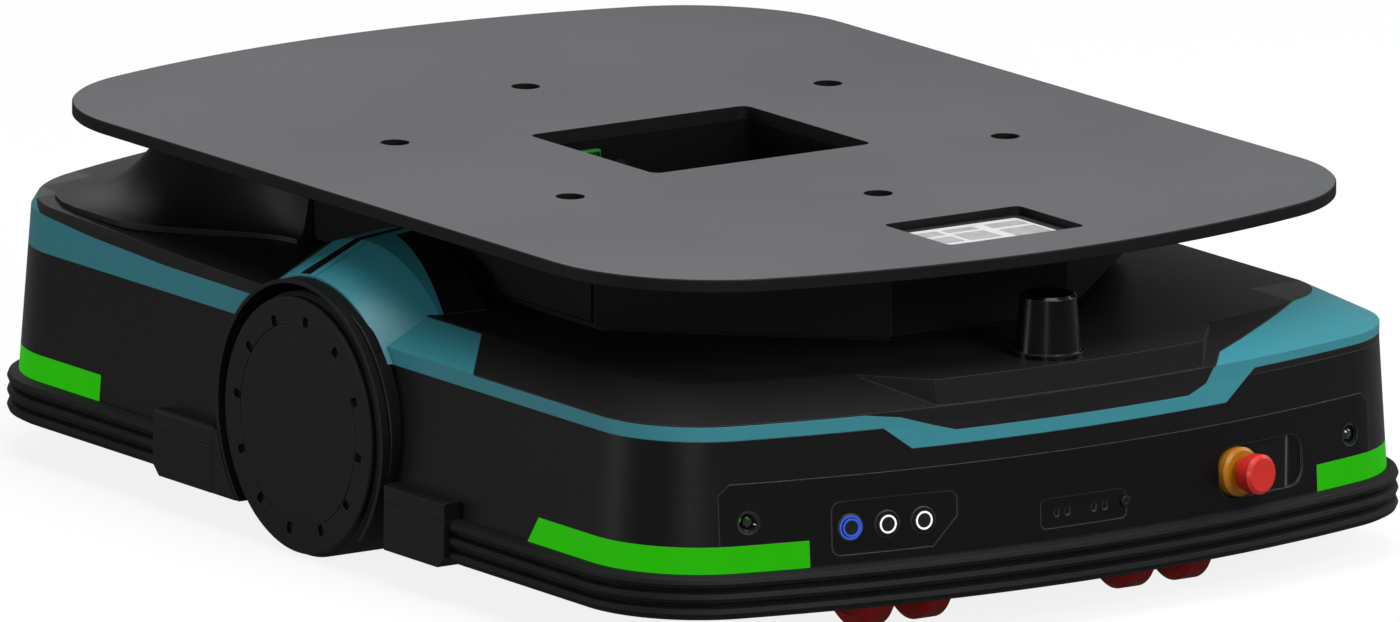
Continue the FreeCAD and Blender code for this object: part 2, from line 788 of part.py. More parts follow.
def sill():
    """The right front sill block: fills the corner between wheel opening, skirt side and bumper end."""
    outer_x = wheel_face
    start = -sill_start
    end = start - sill_length
    block = box(sill_inner, outer_x, end, start, sill_bottom, sill_top)
    slope = front_prism([
        (outer_x - 6, sill_top + 1), (outer_x + 1, sill_top + 1), (outer_x + 1, sill_top - 2),
    ], end - 1, start + 1)
    groove = box(outer_x - sill_groove, outer_x + 1, end - 1, start + 1,
                 sill_groove_height - sill_groove / 2, sill_groove_height + sill_groove / 2)
    foot = side_prism([
        (end - 1, sill_bottom - 1), (end + 9, sill_bottom - 1), (end - 1, sill_bottom + 9),
    ], sill_inner - 1, outer_x + 1)
    block = block.cut(slope).cut(groove).cut(foot)
    block = block.cut(skirt_form(0, skirt_bottom, skirt_top))
    beam_space = between(bumper_outline(bumper_bottom - 1, 0), bumper_outline(skirt_bottom, 0))
    return block.cut(beam_space)


def wheel_housing():
    """The right wheel's arch with its visible collar, closed towards the chassis by a wall."""
    length = wheel_face - 1.0 - housing_back
    centre = vector(housing_back, 0, wheel_centre_height)
    along = vector(1, 0, 0)
    arch = rod(collar_radius, length, centre, along)
    hollow = rod(arch_radius, length, vector(housing_back + collar_wall, 0, wheel_centre_height), along)
    opening = rod(gearbox_radius + 2, 20, vector(housing_back - 5, 0, wheel_centre_height), along)
    housing = arch.cut(hollow).cut(opening)
    keep = box(0, far, -far, far, sill_bottom, over)
    return housing.common(keep)


def drive_wheel():
    """Tyre, hub and cover disc of the right wheel."""
    along = vector(1, 0, 0)
    outer_x = wheel_face - disc_thickness
    inner_x = outer_x - tyre_width
    tyre = spun([
        (inner_x, wheel_radius - tyre_wall), (inner_x, wheel_radius - 5), (inner_x + 5, wheel_radius),
        (outer_x - 5, wheel_radius), (outer_x, wheel_radius - 5), (outer_x, wheel_radius - tyre_wall),
    ], 0, wheel_centre_height)
    rim_radius = wheel_radius - tyre_wall
    rim = rod(rim_radius, tyre_width, vector(inner_x, 0, wheel_centre_height), along)
    inside = rod(rim_radius - hub_wall, tyre_width - 14, vector(inner_x - 1, 0, wheel_centre_height), along)
    boss = rod(shaft_radius + 10, tyre_width - 14, vector(inner_x, 0, wheel_centre_height), along)
    shaft_start = inner_x - shaft_length
    shaft = rod(shaft_radius, shaft_length + 5, vector(shaft_start, 0, wheel_centre_height), along)
    hub = rim.cut(inside).fuse(boss).fuse(shaft).removeSplitter()
    disc = rod(disc_radius, disc_thickness, vector(outer_x, 0, wheel_centre_height), along)
    edge = [item for item in disc.Edges if abs(item.CenterOfMass.x - wheel_face) < 0.01]
    disc = disc.makeChamfer(disc_edge, edge[:1])
    line_start = vector(wheel_face - 1, 0, wheel_centre_height)
    line = rod(disc_line_radius + disc_line_width / 2, 2, line_start, along)
    line = line.cut(rod(disc_line_radius - disc_line_width / 2, 4,
                        vector(wheel_face - 2, 0, wheel_centre_height), along))
    return {"tyre": tyre, "hub": hub, "wheel_disc": disc.cut(line)}


def gearmotor():
    """The right gearbox and motor, bored for the wheel's shaft."""
    along = vector(1, 0, 0)
    front_x = wheel_face - disc_thickness - tyre_width - 4
    gearbox_start = front_x - gearbox_length
    gearbox = rod(gearbox_radius, gearbox_length, vector(gearbox_start, 0, wheel_centre_height), along)
    motor_start = gearbox_start - motor_length
    motor = rod(motor_radius, motor_length, vector(motor_start, 0, wheel_centre_height), along)
    body = gearbox.fuse(motor)
    bore = rod(shaft_radius + running_clearance, shaft_length + 6,
               vector(front_x - shaft_length, 0, wheel_centre_height), along)
    return body.cut(bore)


def motor_bracket():
    """A saddle that clamps the right gearbox to the chassis tray."""
    front_x = wheel_face - disc_thickness - tyre_width - 4 - gearbox_length
    low = tray_bottom + sheet
    side = gearbox_radius + 10
    plate = box(front_x, front_x + bracket_width, -side, side, low, wheel_centre_height + 10)
    top = rod(side, bracket_width, vector(front_x, 0, wheel_centre_height + 10), vector(1, 0, 0))
    top = top.common(box(0, far, -side, side, wheel_centre_height, over))
    foot = box(front_x - 18, front_x + bracket_width, -side - 16, side + 16, low, low + 8)
    seat = rod(gearbox_radius, gearbox_length, vector(front_x - 30, 0, wheel_centre_height), vector(1, 0, 0))
    return plate.fuse(top).fuse(foot).cut(seat).removeSplitter()


def chassis():
    """A folded tray with a raised bridge at each end for the castors."""
    half = tray_half_length
    end = chassis_half_length
    low = tray_bottom
    high = bridge_height
    profile = [
        (-end, skirt_bottom), (-end, high + sheet), (-half, high + sheet), (-half, low + sheet),
        (half, low + sheet), (half, high + sheet), (end, high + sheet), (end, skirt_bottom),
        (end - sheet, skirt_bottom), (end - sheet, high), (half + sheet, high), (half + sheet, low),
        (-half - sheet, low), (-half - sheet, high), (-end + sheet, high), (-end + sheet, skirt_bottom),
    ]
    return side_prism(profile, -chassis_half_width, chassis_half_width)


def castor_swivel(x, y):
    """Fork with twin arms' web, race and stem; the trail runs towards -Y."""
    top = bridge_height - castor_plate_thickness - castor_race_height
    axle_height = castor_wheel_radius
    axle_y = y - castor_trail
    stem = rod(castor_stem_radius, castor_race_height + castor_plate_thickness + sheet - 1 + 6,
               vector(x, y, top - 6), vector(0, 0, 1))
    disc = rod(castor_race_radius, 6, vector(x, y, top - 6), vector(0, 0, 1))
    web = side_prism([
        (y + fork_radius - 4, top - 5), (y - fork_radius + 4, top - 5),
        (axle_y - 9, axle_height + 4), (axle_y - 9, axle_height - 7), (axle_y + 7, axle_height - 9),
    ], x - fork_web, x + fork_web)
    bore_start = vector(x - castor_wheel_pitch, axle_y, axle_height)
    bore = rod(castor_axle_radius + running_clearance, 2 * castor_wheel_pitch, bore_start, vector(1, 0, 0))
    return disc.fuse(stem).fuse(web).cut(bore).removeSplitter()


def castor_wheels(x, y):
    """Twin wheels on one axle."""
    axle_y = y - castor_trail
    height = castor_wheel_radius
    along = vector(1, 0, 0)
    reach = castor_wheel_pitch / 2 + castor_wheel_width / 2
    axle = rod(castor_axle_radius, 2 * reach - 4, vector(x - reach + 2, axle_y, height), along)
    parts = [axle]
    for side in (-1, 1):
        middle = x + side * castor_wheel_pitch / 2
        half = castor_wheel_width / 2
        edge = castor_wheel_edge
        rim = castor_wheel_radius
        profile = [
            (middle - half, 0), (middle - half, rim - edge), (middle - half + edge, rim),
            (middle + half - edge, rim), (middle + half, rim - edge), (middle + half, 0),
        ]
        wheel = spun(profile, axle_y, height)
        outer = middle + side * half
        dish_start = vector(outer - castor_dish_depth, axle_y, height)
        dish = rod(castor_dish_radius, 2 * castor_dish_depth, dish_start, along)
        parts.append(wheel.cut(dish))
    return join(parts)


def castor_plates():
    """The four swivel plates with their upper races, bolted under the bridges."""
    plates = []
    low = bridge_height - castor_plate_thickness
    for x in (-castor_x, castor_x):
        for y in (-castor_y, castor_y):
            half = castor_plate / 2
            plate = box(x - half, x + half, y - half, y + half, low, bridge_height)
            race = rod(castor_race_radius + 3, castor_race_height - running_gap,
                       vector(x, y, low - castor_race_height + running_gap), vector(0, 0, 1))
            bore = rod(castor_stem_radius + running_clearance, 60, vector(x, y, low - 30), vector(0, 0, 1))
            plates.append(plate.fuse(race).cut(bore).removeSplitter())
    return Part.makeCompound(plates)


def top_plate():
    def edge_wire(height, inset):
        return bowed_outline(plate_half_width - inset, plate_half_length - inset, plate_bow_radius - inset,
                             plate_corner_radius - inset, height)

    break_top = plate_top - plate_edge_break
    break_bottom = plate_bottom + plate_edge_break
    middle = between(edge_wire(break_bottom, 0), edge_wire(break_top, 0))
    upper = between(edge_wire(break_top, 0), edge_wire(plate_top, plate_edge_break))
    lower = between(edge_wire(plate_bottom, plate_edge_break), edge_wire(break_bottom, 0))
    plate = join([lower, middle, upper])
    low = plate_bottom - 5
    high = plate_top + 5
    cutters = [
        rounded_box(well_width, well_length, low, high, well_corner),
        rounded_box(window_width, window_length, low, high, window_corner, window_centre),
    ]
    for step in range(hole_count):
        angle = math.radians(90 + step * 360 / hole_count)
        place = vector(hole_circle / 2 * math.cos(angle), hole_circle / 2 * math.sin(angle), low)
        cutters.append(rod(hole_radius, plate_thickness + 10, place, vector(0, 0, 1)))
    for cutter in cutters:
        plate = plate.cut(cutter)
    return plate


def riser():
    """The eight-sided sheet-metal riser with flanges that carry the plate."""
    def eight_sided(inset, low_z, high_z):
        wide = riser_half_width - inset
        long = riser_half_length - inset
        cut_x = riser_chamfer_x - 0.42 * inset
        cut_y = riser_chamfer_y - 0.42 * inset
        points = [
            (-wide, -long + cut_y), (-wide + cut_x, -long), (wide - cut_x, -long), (wide, -long + cut_y),
            (wide, long - cut_y), (wide - cut_x, long), (-wide + cut_x, long), (-wide, long - cut_y),
        ]
        return plan_prism(points, low_z, high_z)

    outer = eight_sided(0, riser_bottom, plate_bottom)
    outer = outer.fuse(eight_sided(plinth_inset, deck_height, riser_bottom + 1))
    walls = outer.cut(eight_sided(riser_wall, riser_bottom + riser_wall, plate_bottom - riser_wall))
    walls = walls.cut(eight_sided(plinth_inset + riser_wall, deck_height - 1, riser_bottom + riser_wall + 1))
    under = turned_half(crown_form(-riser_crown_gap)).common(box(-far, far, 0, far, 0, over))
    reach = window_width / 2 + window_gap
    window = box(-reach, reach, -far, window_centre + window_length / 2 + window_gap, plate_bottom - 20,
                 plate_bottom + 1)
    top = eight_sided(riser_flange, plate_bottom - riser_wall - 1, plate_bottom + 1)
    return walls.cut(top).cut(window).cut(under)


def well_liner():
    """The lined well under the central cut-out, with a flange under the plate and a floor."""
    low = deck_height + well_floor_gap
    width = well_width + 2 * well_wall
    length = well_length + 2 * well_wall
    outer = rounded_box(width, length, low, plate_bottom, well_corner)
    inner = rounded_box(well_width, well_length, low + well_wall, plate_bottom + 1, well_corner - 1)
    flange = rounded_box(width + 2 * well_flange, length + 2 * well_flange, plate_bottom - well_wall,
                         plate_bottom, well_corner)
    return outer.fuse(flange).cut(inner).removeSplitter()


def label_tray():
    """The shallow stepped tray under the front cut-out."""
    low = plate_bottom - tray_depth
    outer = rounded_box(window_width + 2 * tray_wall, window_length + 2 * tray_wall, low, plate_bottom,
                        window_corner, window_centre)
    inner = rounded_box(window_width - 2 * tray_ledge, window_length - 2 * tray_ledge, low + tray_wall,
                        plate_bottom + 1, window_corner, window_centre)
    return outer.cut(inner)


def front_post():
    up = vector(0, 0, 1)
    foot = rod(post_foot_radius, post_foot, vector(0, post_y, deck_height), up)
    shaft_top = deck_height + post_height - post_edge
    cone = Part.makeCone(post_base_radius, post_top_radius, post_height - post_foot - post_edge,
                         vector(0, post_y, deck_height + post_foot), up)
    rim_start = vector(0, post_y, shaft_top)
    rim = Part.makeCone(post_top_radius, post_top_radius - post_edge, post_edge, rim_start, up)
    return join([foot, cone, rim])


def boxes_inside():
    """Battery pack and controller box on the chassis tray."""
    low = tray_bottom + sheet
    nodes = {}
    sizes = {
        "battery_pack": (battery_width, battery_length, battery_height, battery_y),
        "controller_box": (controller_width, controller_length, controller_height, controller_y),
    }
    for name, (width, length, height, y) in sizes.items():
        block = box(-width / 2, width / 2, y - length / 2, y + length / 2, low, low + height)
        uprights = [edge for edge in block.Edges if abs(edge.tangentAt(edge.FirstParameter).z) > 0.9]
        nodes[name] = block.makeFillet(8.0, uprights)
    return nodes


def main():
    os.makedirs("parts", exist_ok=True)
    nodes = {}
    nodes.update(covers())
    nodes.update(skirts())
    nodes.update(button_set())
    nodes.update(emergency_stop())
    nodes.update(boxes_inside())
    nodes["port_plate"] = port_plate()
    nodes["front_lenses"] = lenses()
    front_bumper = bumper()
    front_beam = bumper_beam()
    nodes["front_bumper"] = front_bumper
    nodes["rear_bumper"] = turned_half(front_bumper)
    nodes["front_bumper_beam"] = front_beam
    nodes["rear_bumper_beam"] = turned_half(front_beam)
    front_right_sill = sill()
    nodes["front_right_sill"] = front_right_sill
    nodes["front_left_sill"] = mirrored(front_right_sill)
    nodes["rear_left_sill"] = turned_half(front_right_sill)
    nodes["rear_right_sill"] = mirrored(nodes["rear_left_sill"])
    right_side = drive_wheel()
    right_side["wheel_housing"] = wheel_housing()
    right_side["gearmotor"] = gearmotor()
    right_side["motor_bracket"] = motor_bracket()
    for name, shape in right_side.items():
        nodes["right_" + name] = shape
        nodes["left_" + name] = mirrored(shape)
    nodes["chassis"] = chassis()
    for end, side_y in (("front", -1), ("rear", 1)):
        for side, side_x in (("left", -1), ("right", 1)):
            x = side_x * castor_x
            y = side_y * castor_y
            nodes[end + "_" + side + "_castor_fork"] = castor_swivel(x, y)
            nodes[end + "_" + side + "_castor_wheels"] = castor_wheels(x, y)
            hole = rod(castor_stem_radius + 2, 60, vector(x, y, bridge_height - 20), vector(0, 0, 1))
            nodes["chassis"] = nodes["chassis"].cut(hole)
    nodes["castor_plates"] = castor_plates()
    nodes["top_plate"] = top_plate()
    nodes["riser"] = riser()
    nodes["well_liner"] = well_liner()
    nodes["label_tray"] = label_tray()
    nodes["front_post"] = front_post()
    for name, shape in nodes.items():
        shape.exportStep("parts/" + name + ".step")


main()
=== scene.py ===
import bmesh
import bpy
import json
import math
from mathutils import Matrix, Vector


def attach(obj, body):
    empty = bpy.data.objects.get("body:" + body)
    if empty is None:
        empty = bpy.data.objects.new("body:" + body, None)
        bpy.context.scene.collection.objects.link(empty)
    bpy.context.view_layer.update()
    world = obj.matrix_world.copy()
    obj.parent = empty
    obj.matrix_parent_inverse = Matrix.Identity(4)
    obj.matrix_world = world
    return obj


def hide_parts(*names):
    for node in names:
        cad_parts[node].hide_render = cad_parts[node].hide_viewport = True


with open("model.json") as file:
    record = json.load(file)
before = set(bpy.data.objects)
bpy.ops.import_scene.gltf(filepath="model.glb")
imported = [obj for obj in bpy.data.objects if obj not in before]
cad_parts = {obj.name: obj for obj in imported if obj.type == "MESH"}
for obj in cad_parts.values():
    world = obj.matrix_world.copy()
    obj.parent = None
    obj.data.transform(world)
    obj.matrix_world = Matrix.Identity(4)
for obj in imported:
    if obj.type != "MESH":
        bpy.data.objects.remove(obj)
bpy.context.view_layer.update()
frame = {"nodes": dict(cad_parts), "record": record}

mm = 0.001
print("frame loaded:", len(frame["nodes"]), "parts")


# Small helpers for materials

def linear(hexColour):  # sRGB hex to the linear colour that shaders take
    channels = [int(hexColour[i:i + 2], 16) / 255 for i in (1, 3, 5)]
    return [c / 12.92 if c <= 0.04045 else ((c + 0.055) / 1.055) ** 2.4 for c in channels] + [1.0]


def addNode(tree, kind, settings=None, links=None):  # one node, its settings by name, its links by input
    node = tree.nodes.new(kind)
    for name, value in (settings or {}).items():
        if isinstance(name, str) and hasattr(node, name):
            setattr(node, name, value)
        else:
            node.inputs[name].default_value = value
    for name, source in (links or {}).items():
        tree.links.new(source, node.inputs[name])
    return node


def mathNode(tree, operation, *values):  # the result of one sum; each value is a number or a link
    settings, links = {"operation": operation}, {}
    for place, value in enumerate(values):
        if isinstance(value, (int, float)):
            settings[place] = value
        else:
            links[place] = value
    return addNode(tree, "ShaderNodeMath", settings, links).outputs[0]


def startMaterial(name):
    material = bpy.data.materials.new(name)
    material.use_nodes = True
    material.node_tree.nodes.clear()
    place = addNode(material.node_tree, "ShaderNodeTexCoord").outputs["Object"]
    return material, material.node_tree, place


def mixColour(tree, amount, first, second):  # first where amount is 0, second where it is 1
    settings, links = {"data_type": "RGBA"}, {"Factor": amount}
    for key, value in ((6, first), (7, second)):
        if isinstance(value, list):
            settings[key] = value
        else:
            links[key] = value
    return addNode(tree, "ShaderNodeMix", settings, links).outputs[2]


def edgeShare(tree, rounded):  # near 1 on sharp outer edges, 0 on flat faces
    flat = addNode(tree, "ShaderNodeNewGeometry").outputs["Normal"]
    meet = addNode(tree, "ShaderNodeVectorMath", {"operation": "DOT_PRODUCT"}, {0: flat, 1: rounded})
    return addNode(tree, "ShaderNodeMapRange", {"From Min": 0.995, "From Max": 0.8, "To Max": 1.0},
                   {"Value": meet.outputs["Value"]}).outputs["Result"]


def coatedTops(tree, look, place, spread, colour):  # another coat on the faces that look up
    facing = addNode(tree, "ShaderNodeTexCoord").outputs["Normal"]
    upward = addNode(tree, "ShaderNodeSeparateXYZ", links={"Vector": facing}).outputs["Z"]
    height = addNode(tree, "ShaderNodeSeparateXYZ", links={"Vector": place}).outputs["Z"]
    limits = {"From Min": look.get("topFrom", 0.7), "From Max": look.get("topFull", 0.9)}
    level = addNode(tree, "ShaderNodeMapRange", limits, {"Value": upward}).outputs["Result"]
    under = mathNode(tree, "LESS_THAN", height, look.get("topBelow", 1000) * mm)
    share = mathNode(tree, "MULTIPLY", level, under)
    topTone = mixColour(tree, spread, linear(look["topColour"]), linear(look["topDrift"]))
    return mixColour(tree, share, colour, topTone)


def bareInsides(tree, look, place, colour):  # bare moulding on the inner sides of the fender towers
    axes = addNode(tree, "ShaderNodeSeparateXYZ", links={"Vector": place}).outputs
    across = mathNode(tree, "ABSOLUTE", axes["X"])
    along = mathNode(tree, "ABSOLUTE", axes["Y"])
    limit = mathNode(tree, "MULTIPLY_ADD", along, look["maskSlope"], look["maskReach"] * mm)
    inside = mathNode(tree, "LESS_THAN", across, limit)
    near = mathNode(tree, "LESS_THAN", along, look["maskLength"] * mm)
    high = mathNode(tree, "GREATER_THAN", axes["Z"], look["maskAbove"] * mm)
    share = mathNode(tree, "MULTIPLY", mathNode(tree, "MULTIPLY", inside, near), high)
    return mixColour(tree, share, colour, linear(look["topColour"]))


def noiseAt(tree, place, size, detail):  # a cloud whose waves are about as long as size, in millimetres
    cloud = addNode(tree, "ShaderNodeTexNoise", {"Scale": 1000 / size, "Detail": detail}, {"Vector": place})
    return cloud.outputs["Fac"]


def grainedFinish(name, look):
    # colour drifts slowly over toneSize, grain breaks the surface, edges are rounded and lightened as a
    # painted highlight
    material, tree, place = startMaterial(name)
    drift = noiseAt(tree, place, look["toneSize"], 3)
    spread = addNode(tree, "ShaderNodeMapRange", {"From Min": 0.3, "From Max": 0.7},
                     {"Value": drift}).outputs["Result"]
    colour = mixColour(tree, spread, linear(look["colour"]), linear(look["drift"]))
    if "topColour" in look:
        colour = coatedTops(tree, look, place, spread, colour)
    if "maskReach" in look:
        colour = bareInsides(tree, look, place, colour)
    bevel = addNode(tree, "ShaderNodeBevel", {"samples": 4, "Radius": look.get("edge", 0.8) * mm})
    rounded = bevel.outputs["Normal"]
    # sharp edges are lightened towards the edge colour: a painted highlight
    share = mathNode(tree, "MULTIPLY", edgeShare(tree, rounded), look.get("edgeHighlight", 0.35))
    colour = mixColour(tree, share, colour, linear(look.get("edgeHighlightColour", "#6E6E70")))
    grain = noiseAt(tree, place, look["grain"], 2)
    rub = addNode(tree, "ShaderNodeMapRange",
                  {"To Min": look["roughness"] - look["rub"], "To Max": look["roughness"] + look["rub"]},
                  {"Value": grain}).outputs["Result"]
    bump = addNode(tree, "ShaderNodeBump", {"Strength": look["relief"], "Distance": look["grain"] * mm * 0.5},
                   {"Height": grain, "Normal": rounded}).outputs["Normal"]
    shader = addNode(tree, "ShaderNodeBsdfPrincipled",
                     {"Metallic": look.get("metallic", 0.0), "Specular IOR Level": look.get("shine", 0.5),
                      "IOR": look.get("ior", 1.5), "Coat Weight": look.get("coat", 0.0),
                      "Coat Roughness": look.get("coatRoughness", 0.1)},
                     {"Base Color": colour, "Roughness": rub, "Normal": bump})
    if "glow" in look:  # lit pieces keep a little of the lamp spread in their glow
        strength = look["glowStrength"]
        lamps = addNode(tree, "ShaderNodeMapRange", {"To Min": strength * 0.94, "To Max": strength},
                        {"Value": drift}).outputs["Result"]
        shader.inputs["Emission Color"].default_value = linear(look["glow"])
        tree.links.new(lamps, shader.inputs["Emission Strength"])
    addNode(tree, "ShaderNodeOutputMaterial", links={"Surface": shader.outputs["BSDF"]})
    return material
